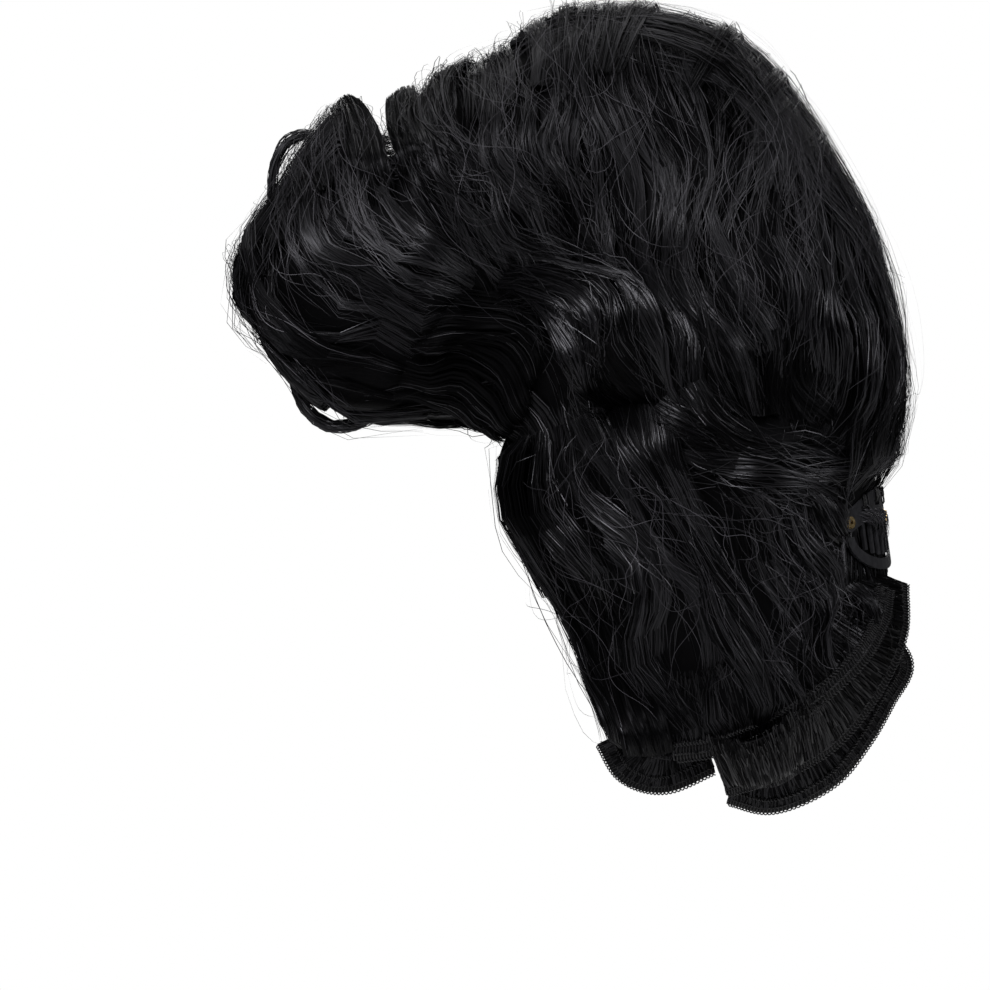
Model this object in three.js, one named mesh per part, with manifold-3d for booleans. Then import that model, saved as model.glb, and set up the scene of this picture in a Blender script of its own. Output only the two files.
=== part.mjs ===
// A clip-in hair extension: a folded bundle of wavy black hair wefts with stitched bands and snap clips.
// Millimetres, +Z up, front towards -Y. The origin is on the underside of the arch, where the bundle is held.
import * as THREE from "three";
import { mergeVertices } from "three/addons/utils/BufferGeometryUtils.js";
import Module from "manifold-3d";

const wasm = await Module();
wasm.setup();

// The folded bundle
const WIDTH = 138.4;
const HEIGHT = 161.6;
const DEPTH = 62;
const LOCK_WIDTH = 11;
const LOCK_THICKNESS = 7;
const WAVE_DEPTH = 1.1;
const FULLNESS = 0.86;
const PINCH = 0.7;

// The front locks that bridge over the pinched place
const FRONT_LOCK_WIDTH = 11;
const FRONT_LOCK_THICKNESS = 3;
const FRONT_LOCK_STANDOFF = 15.5;

// The thin locks that stand clear of the lobe
const THIN_LOCK_WIDTH = 3;

// The stitched bands and the hair that leaves them
const BAND_WIDTH = 4.6;
const BAND_THICKNESS = 1.8;
const SKIRT_WIDTH = 15;
const SKIRT_THICKNESS = 3.6;
const BAND_STANDOUT = 0.9;

// The snap clip
const CLIP_SPAN = 28;
const CLIP_ARC_RADIUS = 36;
const CLIP_START_TURN = 48;
const CLIP_RISE = 8;
const PLATE_THICKNESS = 0.6;
const PLATE_RISE = 3.4;
const TAB_RADIUS = 2.3;
const TEETH = 7;
const TOOTH_WIDTH = 1;
const TOOTH_PITCH = 3;
const TOOTH_CLEARANCE = 0.8;
const SLOT_LENGTH = 3.4;
const SLOT_HEIGHT = 1;
const BOW_WIDTH = 2.2;
const BOW_DROP = 6.4;
const HINGE_GAP = 0.6;
const RIVET_HOLE_RADIUS = 1;
const RIVET_FLANGE_RADIUS = 1.35;
const RIVET_FLANGE_THICKNESS = 0.45;
const RIVET_BORE_RADIUS = 0.45;
const CLIP_BAND_LEAD = 16;
const CLIP_BAND_TAIL = 5;
const CLIP_ROOM = 7;
const INNER_CLIP_THICKNESS = 1;

// Clearances between pieces that lie against each other
const GAP = 0.3;

const HAIR = new THREE.MeshStandardMaterial({ color: 0x101013, roughness: 0.42, metalness: 0 });
const STITCHING = new THREE.MeshStandardMaterial({ color: 0x0c0c0e, roughness: 0.85, metalness: 0 });
const CLIP_PAINT = new THREE.MeshStandardMaterial({ color: 0x2a2b2e, roughness: 0.4, metalness: 0.7 });
const BRASS = new THREE.MeshStandardMaterial({ color: 0xb8985a, roughness: 0.35, metalness: 1 });

// Cross-sections of the bundle from the stitched end round the arch to the lobe.
// inner and outer are [share of WIDTH, share of HEIGHT] in percent, deep is the share of DEPTH.
const SECTIONS = [
  { inner: [21, -38], outer: [44, -37], deep: 28 },
  { inner: [15, -34], outer: [49.5, -30], deep: 42 },
  { inner: [11, -28], outer: [52.5, -24], deep: 54 },
  { inner: [6, -19], outer: [53.5, -18], deep: 64 },
  { inner: [3, -9.5], outer: [52.5, -9.5], deep: 76 },
  { inner: [2, -3], outer: [55, 0.5], deep: 88 },
  { inner: [1.5, -1], outer: [56.5, 9.5], deep: 96 },
  { inner: [1, -0.5], outer: [52.5, 24], deep: 100 },
  { inner: [0.5, 0], outer: [45, 35.5], deep: 100 },
  { inner: [-0.5, 0.5], outer: [34.5, 47.5], deep: 98 },
  { inner: [-1.5, 1], outer: [21, 52], deep: 94 },
  { inner: [-2.5, 1.5], outer: [8, 51.5], deep: 90 },
  { inner: [-4, 1.5], outer: [-3.5, 46.5], deep: 86 },
  { inner: [-6, 2], outer: [-12.5, 41.5], deep: 80 },
  { inner: [-9.5, 2], outer: [-17, 36.5], deep: 72 },
  { inner: [-13.5, 2.5], outer: [-24, 39.5], deep: 68 },
  { inner: [-18, 2.5], outer: [-32, 30], deep: 60 },
  { inner: [-22.5, 3], outer: [-37.5, 19.5], deep: 46 },
  { inner: [-26, 6.5], outer: [-32.5, 12.5], deep: 24 },
];
const LOWER_CUT_ROW = 5;
const LOBE_CUT_ROW = 14;

// How the hair falls, region by region. Each guide is a list of [share of WIDTH, share of HEIGHT] in percent,
// and the locks of a region lie side by side between its guides.
const REGIONS = [
  {
    name: "lower front",
    front: 6,
    back: 4,
    guides: [
      [[4.5, -4.5], [3, -11], [6, -19], [11, -28], [16.5, -37]],
      [[13, 0.5], [9.5, -5.5], [11, -13], [16.5, -21.5], [23.5, -38.5]],
      [[19.5, 2], [14.5, -6], [18, -13], [25, -22], [31.5, -38]],
      [[23, 1], [21, -5.5], [26, -13], [33, -21], [39, -34]],
      [[28, -1], [30.5, -9], [37, -15.5], [43, -22], [48, -30]],
      [[40, -4], [43, -10], [47, -15], [51, -20], [52.5, -24]],
    ],
  },
  {
    name: "waist",
    front: 2,
    back: 1,
    guides: [
      [[23.5, 8], [26.5, 1.5], [31, -3], [39, -5], [49, -4]],
      [[29, 9], [33, 4], [38, 0], [45, -2], [53, -2.5]],
    ],
  },
  {
    name: "right body",
    front: 8,
    back: 5,
    guides: [
      [[9, 51], [9.5, 42.5], [12.5, 33.5], [14.5, 25.5], [20, 14], [21, 4]],
      [[16.5, 51.5], [19.5, 43.5], [20.5, 34.5], [21.5, 26.5], [25, 15], [30.5, 4]],
      [[23.5, 51], [27, 43.5], [27, 34.5], [24.5, 25.5], [26.5, 18], [30, 11]],
      [[30, 49.5], [33.5, 42.5], [34, 34], [33.5, 25.5], [35.5, 18], [36, 11]],
      [[35, 46.5], [38.5, 39], [39, 31], [41, 23.5], [40.5, 16], [38.5, 8]],
      [[39.5, 41], [43.5, 33], [44.5, 25], [45.5, 19], [49, 12], [47.5, 5]],
      [[45, 35], [49.5, 26.5], [51, 19], [52, 13], [54, 6], [50, -2]],
      [[49, 29], [53.5, 22.5], [56, 15.5], [57.5, 8.5], [56.5, 2], [54, -2.5]],
    ],
  },
  {
    name: "crest left",
    front: 4,
    back: 3,
    guides: [
      [[-8.5, 45], [-9, 39], [-7, 33.5], [-4, 27], [2, 20.5]],
      [[-5, 46.5], [-5.5, 39], [-3, 31.5], [2, 24], [10, 19]],
      [[1, 49], [1, 41.5], [3.5, 34], [7.5, 28], [13.5, 20.5]],
      [[6, 50.5], [6, 42.5], [8, 34.5], [12, 27], [15.5, 19]],
    ],
  },
  {
    name: "lobe",
    front: 7,
    back: 4,
    guides: [
      [[-13.5, 41], [-14.5, 36.5], [-12, 30.5], [-7.5, 25.5], [-1, 21]],
      [[-23, 40], [-23, 33], [-20, 27], [-13, 22.5], [-2, 18]],
      [[-27, 37], [-27, 30], [-24.5, 23.5], [-17, 18.5], [-5, 15]],
      [[-32, 32], [-32, 25.5], [-28.5, 18.5], [-20, 13.5], [-6, 10.5]],
      [[-35.5, 28], [-37.5, 21], [-34, 14], [-25, 9], [-11, 6]],
      [[-38.5, 22.5], [-38, 17], [-32, 11], [-25, 5.5], [-14.5, 3]],
    ],
  },
];

// The two front locks, and the thin locks that loop clear of the lobe's outline
const FRONT_GUIDES = [
  [[-2, 19.5], [4, 18], [8, 15], [11, 10], [13.5, 4]],
  [[0, 21], [7, 20], [13.5, 17.5], [17.5, 13], [19, 6]],
];
const FRONT_LOCKS = 2;
const THIN_LOCKS = [
  [[-25, 36], [-28, 38.2], [-31.5, 37.4], [-33.5, 33.5], [-33.5, 27.5]],
  [[-31.5, 12], [-29.5, 5.5], [-26, 2.6], [-21.5, 2.6], [-17.5, 4]],
];

// The stitched bands: points are [share of WIDTH, share of HEIGHT, share of DEPTH], turn is how far the
// face turns from the front towards the outline, in degrees.
const BANDS = [
  {
    name: "weft_band_front",
    turn: 30,
    points: [[54.2, -17.4, -14], [53.2, -21.5, -18], [50.5, -25.5, -22], [45, -30, -25],
      [38, -34, -24], [31, -36.5, -22], [24, -37.5, -19]],
  },
  {
    name: "weft_band_second",
    turn: 30,
    points: [[57, -17, 2], [56.5, -23.5, -4], [52.5, -30.5, -8], [46.5, -36.5, -10],
      [39, -40, -11], [31.5, -42, -10]],
  },
  {
    name: "weft_band_bottom",
    turn: 35,
    points: [[55.5, -24, 10], [58, -27.5, 8], [55.5, -31.5, 6], [52, -36.5, 4], [47, -41.5, 3],
      [39, -44.5, 2], [32.5, -43.5, 3]],
  },
  {
    name: "weft_band_left",
    turn: 25,
    points: [[30, -39.5, 1], [23, -41.8, -2], [17.5, -40.5, -4], [14.5, -36.5, -4]],
  },
];

// The clips inside the bundle: where each one's left end lies, and how it turns in the front view
const INNER_CLIPS = [
  { name: "inner_clip_left", at: [18.5, -35.5, -15.5], turn: -14 },
  { name: "inner_clip_bottom", at: [33, -39, 17], turn: 28 },
];

const percent = (share, size) => (share / 100) * size;
const flat = ([x, z]) => new THREE.Vector3(percent(x, WIDTH), 0, percent(z, HEIGHT));
const placed = ([x, z, y]) =>
  new THREE.Vector3(percent(x, WIDTH), percent(y, DEPTH), percent(z, HEIGHT));
const radians = THREE.MathUtils.degToRad;

// A closed geometry as a manifold solid with its faces out
function solidOf(geometry) {
  const bare = geometry.clone();
  for (const name of Object.keys(bare.attributes)) {
    if (name !== "position") bare.deleteAttribute(name);
  }
  const merged = mergeVertices(bare, 1e-4);
  const made = new wasm.Manifold(new wasm.Mesh({
    numProp: 3,
    vertProperties: merged.attributes.position.array,
    triVerts: new Uint32Array(merged.index.array),
  }));
  if (made.volume() > 0) return made;
  const turned = new Uint32Array(merged.index.array).reverse();
  return new wasm.Manifold(new wasm.Mesh({
    numProp: 3,
    vertProperties: merged.attributes.position.array,
    triVerts: turned,
  }));
}

// A manifold solid as a flat-shaded geometry
function geometryOf(solid) {
  const mesh = solid.getMesh();
  const geometry = new THREE.BufferGeometry();
  geometry.setAttribute("position", new THREE.BufferAttribute(mesh.vertProperties.slice(), 3));
  geometry.setIndex(new THREE.BufferAttribute(new Uint32Array(mesh.triVerts), 1));
  return geometry;
}

const join = (solids) => wasm.Manifold.union(solids);

// The largest connected body of a solid, without crumbs or bubbles that a cut leaves
function largest(solid) {
  return solid.decompose().reduce((a, b) => (a.volume() > b.volume() ? a : b));
}

// Moves each vertex of a geometry to where shape(x, y, z) says
function reshape(geometry, shape) {
  const position = geometry.attributes.position;
  const point = new THREE.Vector3();
  for (let i = 0; i < position.count; i += 1) {
    point.copy(shape(position.getX(i), position.getY(i), position.getZ(i)));
    position.setXYZ(i, point.x, point.y, point.z);
  }
  return geometry;
}

// The bundle's core: a loft through the cross-sections
const innerCurve = new THREE.CatmullRomCurve3(SECTIONS.map((s) => flat(s.inner)));
const outerCurve = new THREE.CatmullRomCurve3(SECTIONS.map((s) => flat(s.outer)));
const depthCurve = new THREE.CatmullRomCurve3(
  SECTIONS.map((s) => new THREE.Vector3(percent(s.deep, DEPTH) / 2, 0, 0)),
);

function corePoint(t, angle, radius) {
  const inner = innerCurve.getPoint(t);
  const outer = outerCurve.getPoint(t);
  const half = depthCurve.getPoint(t).x;
  const across = Math.sign(Math.cos(angle)) * Math.abs(Math.cos(angle)) ** FULLNESS;
  const out = Math.sign(Math.sin(angle)) * Math.abs(Math.sin(angle)) ** FULLNESS;
  const point = inner.clone().lerp(outer, 0.5 + (across * radius) / 2);
  const squeeze = PINCH * pinchedAt(t) * ((1 - across) / 2) ** 2;
  point.y = half * out * radius * (1 - squeeze);
  return point;
}

// How far the bundle is squeezed where it is held: most under the arch, nothing at the ends
function pinchedAt(t) {
  return Math.sin(Math.PI * t) ** 2;
}

function makeCore() {
  const steps = SECTIONS.length;
  const tube = new THREE.CylinderGeometry(1, 1, 1, 14, steps);
  return reshape(tube, (x, y, z) => {
    const radius = Math.hypot(x, z);
    return corePoint(THREE.MathUtils.clamp(y + 0.5, 0, 1), Math.atan2(z, x), radius);
  });
}

const coreGeometry = makeCore();
const coreMesh = new THREE.Mesh(coreGeometry, new THREE.MeshBasicMaterial({ side: THREE.DoubleSide }));
coreMesh.updateMatrixWorld();
const middles = SECTIONS.map((s) => flat(s.inner).lerp(flat(s.outer), 0.5));

// Where the core's front (side -1) or back (side 1) lies at a point of the front view. A point outside
// the outline takes the nearest place on the way to the middle of its cross-section.
function onCore(point, side) {
  const middle = middles.reduce((a, b) => (a.distanceTo(point) < b.distanceTo(point) ? a : b));
  const ray = new THREE.Raycaster();
  for (let pull = 0; pull < 1; pull += 0.04) {
    const from = point.clone().lerp(middle, pull);
    from.y = side * DEPTH;
    ray.set(from, new THREE.Vector3(0, -side, 0));
    const hit = ray.intersectObject(coreMesh)[0];
    if (hit) return hit.point.y * (1 - pull);
  }
  return 0;
}

// A tapering lock with an oval section along a curve; out is the direction its flat side faces
function makeLock(curve, outAt, width, thickness, steps = 6, sides = 4) {
  const tube = new THREE.CylinderGeometry(1, 1, 1, sides, steps);
  return reshape(tube, (x, y, z) => {
    const t = THREE.MathUtils.clamp(y + 0.5, 0, 1);
    const point = curve.getPoint(t);
    const along = curve.getTangent(t);
    const out = outAt(t, point);
    const across = new THREE.Vector3().crossVectors(along, out).normalize();
    const up = new THREE.Vector3().crossVectors(across, along).normalize();
    const taper = 0.1 + 0.9 * Math.sqrt(Math.sin(Math.PI * (0.02 + 0.96 * t)));
    point.addScaledVector(across, (x * width * taper) / 2);
    point.addScaledVector(up, (z * thickness * taper) / 2);
    return point;
  });
}

// A curve between the guides of a region; share runs from 0 at the first guide to 1 at the last
function between(guides, share, count = 7) {
  const curves = guides.map((g) => new THREE.CatmullRomCurve3(g.map(flat)));
  const points = [];
  for (let k = 0; k < count; k += 1) {
    const row = new THREE.CatmullRomCurve3(curves.map((c) => c.getPoint(k / (count - 1))));
    points.push(row.getPoint(share));
  }
  return points;
}

// The locks of one region on one side of the core
function layLocks(region, side) {
  const count = side < 0 ? region.front : region.back;
  const locks = [];
  for (let i = 0; i < count; i += 1) {
    const points = between(region.guides, (i + 0.5) / count);
    points.forEach((p, k) => {
      const wave = Math.sin(k * 1.9 + i * 2.4) * WAVE_DEPTH;
      p.y = onCore(p, side) + side * (wave + (i % 2 ? 0.6 : -0.6));
    });
    const curve = new THREE.CatmullRomCurve3(points);
    const outAt = (t, point) => {
      const middle = middles.reduce((a, b) => (a.distanceTo(point) < b.distanceTo(point) ? a : b));
      const out = point.clone().sub(middle);
      out.y += side * DEPTH * 0.35;
      return out.normalize();
    };
    locks.push(solidOf(makeLock(curve, outAt, LOCK_WIDTH, LOCK_THICKNESS)));
  }
  return locks;
}

// The thin locks that stand clear of the lobe
function makeThinLocks() {
  return THIN_LOCKS.map((guide) => {
    const curve = new THREE.CatmullRomCurve3(guide.map(flat));
    const facing = () => new THREE.Vector3(0, -1, 0);
    return solidOf(makeLock(curve, facing, THIN_LOCK_WIDTH, THIN_LOCK_WIDTH, 10, 6));
  });
}

// The front locks stand off the core in the middle and come back to it at both ends
function makeFrontLocks() {
  const locks = [];
  for (let i = 0; i < FRONT_LOCKS; i += 1) {
    const points = between(FRONT_GUIDES, i / (FRONT_LOCKS - 1));
    points.forEach((p, k) => {
      const lift = Math.sin((Math.PI * k) / (points.length - 1));
      p.y = onCore(p, -1) - 1 - FRONT_LOCK_STANDOFF * Math.sqrt(lift);
    });
    const curve = new THREE.CatmullRomCurve3(points);
    const facing = () => new THREE.Vector3(0, -1, 0);
    locks.push(solidOf(makeLock(curve, facing, FRONT_LOCK_WIDTH, FRONT_LOCK_THICKNESS, 9)));
  }
  return join(locks);
}

// A flat strip along a band's points: shift moves it across its width, out of the bundle, sink moves it
// behind its face, and lead makes it longer at both ends
function makeStrip(band, width, thickness, { shift = 0, sink = 0, lead = 0, steps = 14 } = {}) {
  const curve = new THREE.CatmullRomCurve3(band.points.map(placed));
  const middle = flat([34, -24]);
  const strip = new THREE.BoxGeometry(1, width, thickness, steps, 1, 1);
  const grow = lead / curve.getLength();
  return reshape(strip, (x, y, z) => {
    const t = (x + 0.5) * (1 + 2 * grow) - grow;
    const on = THREE.MathUtils.clamp(t, 0, 1);
    const point = curve.getPoint(on);
    const along = curve.getTangent(on);
    point.addScaledVector(along, (t - on) * curve.getLength());
    const outward = point.clone().sub(middle).setY(0).normalize();
    const face = outward.multiplyScalar(Math.sin(radians(band.turn)));
    face.y = -Math.cos(radians(band.turn));
    const across = new THREE.Vector3().crossVectors(along, face).normalize();
    if (across.dot(point.clone().sub(middle)) < 0) across.negate();
    const up = new THREE.Vector3().crossVectors(along, across).normalize();
    if (up.dot(face) < 0) up.negate();
    point.addScaledVector(across, y + shift);
    point.addScaledVector(up, z - sink);
    return point;
  });
}

// Bends a flat piece of the clip, drawn with x along it, y up and z out, round the side of the bundle
function bendRound(geometry) {
  const start = radians(CLIP_START_TURN);
  return reshape(geometry, (x, y, z) => {
    const turn = start + x / CLIP_ARC_RADIUS;
    return new THREE.Vector3(
      CLIP_ARC_RADIUS * (Math.sin(turn) - Math.sin(start)) + z * Math.sin(turn),
      CLIP_ARC_RADIUS * (Math.cos(start) - Math.cos(turn)) - z * Math.cos(turn),
      y,
    );
  });
}

const arch = (x) => Math.sin(Math.PI * THREE.MathUtils.clamp(x / CLIP_SPAN, 0, 1));
const plateTop = (x) => tabHeight(x) + PLATE_RISE * arch(x);
const plateBottom = (x) => -tabHeight(x) + (TAB_RADIUS + 0.4) * arch(x) ** 0.8;

// Half the height of the plate's round end tabs
function tabHeight(x) {
  const past = Math.max(-x, x - CLIP_SPAN, 0);
  return Math.sqrt(Math.max(TAB_RADIUS ** 2 - past ** 2, 0.4));
}

// A half-moon plate, grown by a margin on every side where that is asked
function makePlate(thickness, margin = 0) {
  const length = CLIP_SPAN + 2 * (TAB_RADIUS + margin);
  const box = new THREE.BoxGeometry(length, 2, thickness + 2 * margin, 12, 1, 1);
  box.translate(CLIP_SPAN / 2, 0, thickness / 2);
  return reshape(box, (x, y, z) => {
    const edge = y > 0 ? plateTop(x) + margin : plateBottom(x) - margin;
    return new THREE.Vector3(x, edge, z);
  });
}

// The comb's teeth hang from the plate and stop short of the bow
function makeTeeth() {
  const teeth = [];
  const first = CLIP_SPAN / 2 - ((TEETH - 1) / 2) * TOOTH_PITCH;
  for (let i = 0; i < TEETH; i += 1) {
    const x = first + i * TOOTH_PITCH;
    const top = plateBottom(x) + 0.8;
    const tip = bowHeight(x) + BOW_WIDTH / 2 + TOOTH_CLEARANCE;
    const tooth = new THREE.BoxGeometry(TOOTH_WIDTH, top - tip, PLATE_THICKNESS);
    tooth.translate(x, (top + tip) / 2, PLATE_THICKNESS / 2);
    teeth.push(solidOf(bendRound(tooth)));
  }
  return teeth;
}

// The sewing slots through the plate
function makeSlots() {
  return [0.25, 0.5, 0.75].map((share) => {
    const x = share * CLIP_SPAN;
    const slot = new THREE.BoxGeometry(SLOT_LENGTH, SLOT_HEIGHT, 4 * PLATE_THICKNESS);
    slot.translate(x, (plateTop(x) + plateBottom(x)) / 2, PLATE_THICKNESS / 2);
    return solidOf(bendRound(slot));
  });
}

function makeClipPlate() {
  const holes = [0, CLIP_SPAN].map((x) => solidOf(placeRivet(
    new THREE.CylinderGeometry(RIVET_HOLE_RADIUS, RIVET_HOLE_RADIUS, 4, 10), x)));
  return join([solidOf(bendRound(makePlate(PLATE_THICKNESS))), ...makeTeeth()])
    .subtract(join([...makeSlots(), ...holes]));
}

// The height of the bow's centreline at a place along the clip
function bowHeight(x) {
  const share = THREE.MathUtils.clamp((2 * x) / CLIP_SPAN - 1, -1, 1);
  return -TAB_RADIUS - HINGE_GAP - BOW_DROP * Math.sqrt(1 - share ** 2);
}

// The bow is a half-round bar from tab to tab, below the teeth
function makeBow() {
  const bar = new THREE.BoxGeometry(1, BOW_WIDTH, PLATE_THICKNESS, 18, 1, 1);
  bar.translate(0, 0, PLATE_THICKNESS / 2);
  return bendRound(reshape(bar, (x, y, z) => {
    const angle = Math.PI * (x + 0.5);
    const along = new THREE.Vector2(Math.sin(angle) * (CLIP_SPAN / 2), -Math.cos(angle) * BOW_DROP);
    const inward = new THREE.Vector2(-along.y, along.x).normalize();
    return new THREE.Vector3(
      (CLIP_SPAN / 2) * (1 - Math.cos(angle)) + inward.x * y,
      -TAB_RADIUS - HINGE_GAP - Math.sin(angle) * BOW_DROP + inward.y * y,
      z,
    );
  }));
}

// A round piece drawn about +Y, stood on the plate's face at a place along the clip
function placeRivet(geometry, x) {
  const turn = radians(CLIP_START_TURN) + x / CLIP_ARC_RADIUS;
  const foot = bendRound(new THREE.BufferGeometry().setFromPoints([new THREE.Vector3(x, 0, 0)]));
  geometry.rotateZ(Math.PI + turn);
  return geometry.translate(...foot.attributes.position.array);
}

function makeRivet(x) {
  const top = PLATE_THICKNESS + GAP + RIVET_FLANGE_THICKNESS;
  const profile = [
    [RIVET_BORE_RADIUS, -GAP],
    [RIVET_HOLE_RADIUS - GAP, -GAP],
    [RIVET_HOLE_RADIUS - GAP, PLATE_THICKNESS + GAP],
    [RIVET_FLANGE_RADIUS, PLATE_THICKNESS + GAP],
    [RIVET_FLANGE_RADIUS - 0.15, top],
    [RIVET_BORE_RADIUS, top],
    [RIVET_BORE_RADIUS, -GAP],
  ].map(([r, h]) => new THREE.Vector2(r, h));
  return placeRivet(new THREE.LatheGeometry(profile, 10), x);
}

// The band that the clip is sewn to lies behind the plate's upper edge
function makeClipBand(margin = 0) {
  const length = CLIP_BAND_LEAD + CLIP_SPAN + CLIP_BAND_TAIL + 2 * margin;
  const strip = new THREE.BoxGeometry(length, BAND_WIDTH + 2 * margin, BAND_THICKNESS + 2 * margin, 14, 1, 1);
  const middle = (CLIP_SPAN + CLIP_BAND_TAIL - CLIP_BAND_LEAD) / 2;
  strip.translate(middle, TAB_RADIUS + BAND_WIDTH / 2, -GAP - BAND_THICKNESS / 2);
  return bendRound(strip);
}

// The room that the clip and its opening bow need in front of the hair
function makeClipRoom() {
  const below = BOW_DROP + TAB_RADIUS + HINGE_GAP + BOW_WIDTH;
  const above = TAB_RADIUS + PLATE_RISE + GAP;
  const room = new THREE.BoxGeometry(CLIP_SPAN + 4 * TAB_RADIUS, above + below, CLIP_ROOM + GAP, 6, 1, 1);
  room.translate(CLIP_SPAN / 2, (above - below) / 2, (CLIP_ROOM - GAP) / 2);
  return bendRound(room);
}

// The clip's own frame has its near rivet at the origin
const clip = new THREE.Group();
clip.position.copy(placed([48.5, -9.6, -21]));
clip.rotation.y = -radians(CLIP_RISE);
clip.updateMatrixWorld(true);

// The plain clips inside the bundle
function innerClipGroup(spec) {
  const group = new THREE.Group();
  group.position.copy(placed(spec.at));
  group.rotation.y = -radians(spec.turn);
  group.updateMatrixWorld(true);
  return group;
}
const innerClipShape = (margin) => makePlate(INNER_CLIP_THICKNESS, margin).rotateX(Math.PI / 2);

// All the hair in one piece, before it is parted
function makeHair() {
  const locks = REGIONS.flatMap((r) => [...layLocks(r, -1), ...layLocks(r, 1)]);
  const skirts = BANDS.map((b) => solidOf(makeStrip(b, SKIRT_WIDTH, SKIRT_THICKNESS, {
    shift: (BAND_WIDTH - SKIRT_WIDTH) / 2 - GAP,
    sink: (SKIRT_THICKNESS - BAND_THICKNESS) / 2 + BAND_STANDOUT,
    steps: 8,
  })));
  return join([solidOf(coreGeometry), ...locks, ...makeThinLocks(), ...skirts]);
}

// The room for every band and clip that lies in the hair
function makePockets() {
  const bands = BANDS.map((b) => solidOf(
    makeStrip(b, BAND_WIDTH + 2 * GAP, BAND_THICKNESS + 2 * GAP, { lead: GAP })));
  const clips = INNER_CLIPS.map((spec) => solidOf(
    innerClipShape(GAP).applyMatrix4(innerClipGroup(spec).matrixWorld)));
  const sewn = [makeClipBand(GAP), makeClipRoom()].map((g) => solidOf(g.applyMatrix4(clip.matrixWorld)));
  return join([...bands, ...clips, ...sewn]);
}

// A solid less its neighbour, with the gap left between them
function clearOf(solid, neighbour) {
  const shifts = [[0, -GAP, 0], [0, GAP, 0], [-GAP, 0, 0], [GAP, 0, 0], [0, 0, -GAP], [0, 0, GAP]];
  return largest(solid.subtract(join(shifts.map((shift) => neighbour.translate(shift)))));
}

// A cut across the bundle along one cross-section, with half the gap on each side of it. Towards the
// lobe is the side where the cross-sections run on, and the trim keeps that side or the other one.
function cutAt(solid, index, keepOnwards) {
  const inner = flat(SECTIONS[index].inner);
  const across = flat(SECTIONS[index].outer).sub(inner).normalize();
  const normal = new THREE.Vector3(-across.z, 0, across.x).multiplyScalar(keepOnwards ? 1 : -1);
  return solid.trimByPlane(normal.toArray(), normal.dot(inner) + GAP / 2);
}

function add(group, name, geometry, material) {
  const mesh = new THREE.Mesh(geometry, material);
  mesh.name = name;
  group.add(mesh);
}

const object = new THREE.Group();
const hair = makeHair().subtract(makePockets());
const upper = cutAt(cutAt(hair, LOWER_CUT_ROW, true), LOBE_CUT_ROW, false);
add(object, "lower_hair", geometryOf(largest(cutAt(hair, LOWER_CUT_ROW, false))), HAIR);
add(object, "upper_hair", geometryOf(largest(upper)), HAIR);
add(object, "lobe_hair", geometryOf(largest(cutAt(hair, LOBE_CUT_ROW, true))), HAIR);

add(object, "front_locks", geometryOf(clearOf(makeFrontLocks(), hair)), HAIR);

for (const band of BANDS) {
  add(object, band.name, makeStrip(band, BAND_WIDTH, BAND_THICKNESS), STITCHING);
}
for (const spec of INNER_CLIPS) {
  const group = innerClipGroup(spec);
  add(group, spec.name, innerClipShape(0), CLIP_PAINT);
  object.add(group);
}

add(clip, "clip_band", makeClipBand(), STITCHING);
add(clip, "clip_plate", geometryOf(makeClipPlate()), CLIP_PAINT);
add(clip, "snap_bow", makeBow(), CLIP_PAINT);
add(clip, "rivet_near", makeRivet(0), BRASS);
add(clip, "rivet_far", makeRivet(CLIP_SPAN), BRASS);
object.add(clip);

export default object;
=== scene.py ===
# %% [markdown]
# # A clip-in hair extension, folded over and held
#
# The real thing is a set of wavy black wefts: hair sewn along stitched bands, with snap clips on them.
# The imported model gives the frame. Its hair solids are plain, so this script lays real locks and strands
# over the same form, sews the bands, and gives the clip its satin finish.

# %% Load the frame
import math
import bpy
import bmesh
import numpy as np
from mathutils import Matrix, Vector


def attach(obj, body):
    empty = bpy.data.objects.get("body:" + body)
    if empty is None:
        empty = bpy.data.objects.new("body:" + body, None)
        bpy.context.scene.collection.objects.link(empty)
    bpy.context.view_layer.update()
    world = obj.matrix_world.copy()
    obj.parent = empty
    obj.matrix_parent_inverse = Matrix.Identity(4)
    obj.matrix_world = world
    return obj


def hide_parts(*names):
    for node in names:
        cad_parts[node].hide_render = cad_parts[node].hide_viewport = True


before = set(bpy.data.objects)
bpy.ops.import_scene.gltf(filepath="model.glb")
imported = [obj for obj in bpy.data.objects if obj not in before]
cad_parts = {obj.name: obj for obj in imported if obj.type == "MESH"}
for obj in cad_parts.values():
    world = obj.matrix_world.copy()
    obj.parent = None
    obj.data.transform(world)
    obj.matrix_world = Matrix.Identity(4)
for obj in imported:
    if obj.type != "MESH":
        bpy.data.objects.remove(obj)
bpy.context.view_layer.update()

# %% [markdown]
# ## Camera
#
# A lens from straight in front, far enough away that the near locks don't swell. The distance and the
# width that it takes in give the focal length.

# %% Camera
CAMERA_DISTANCE = 0.8
VIEW_WIDTH = 0.198
VIEW_CENTRE = (-0.002, -0.010)

camera = bpy.data.cameras.new("camera")
camera.lens = camera.sensor_width * CAMERA_DISTANCE / VIEW_WIDTH
camera_object = bpy.data.objects.new("camera", camera)
camera_object.location = (VIEW_CENTRE[0], -CAMERA_DISTANCE, VIEW_CENTRE[1])
camera_object.rotation_euler = (math.pi / 2, 0, 0)
bpy.context.collection.objects.link(camera_object)
bpy.context.scene.camera = camera_object
print("focal length", round(camera.lens, 1), "mm")

# %% [markdown]
# ## Studio
#
# Black hair shows itself by its gloss alone, so the light comes from a few broad soft panels and the rest
# of the room is dim. The camera sees the room as plain white, and the floor is a pale sheet well below.

# %% Floor, room and lights
FLOOR_LEVEL = -0.45
FLOOR_SIDE = 2.4


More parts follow.
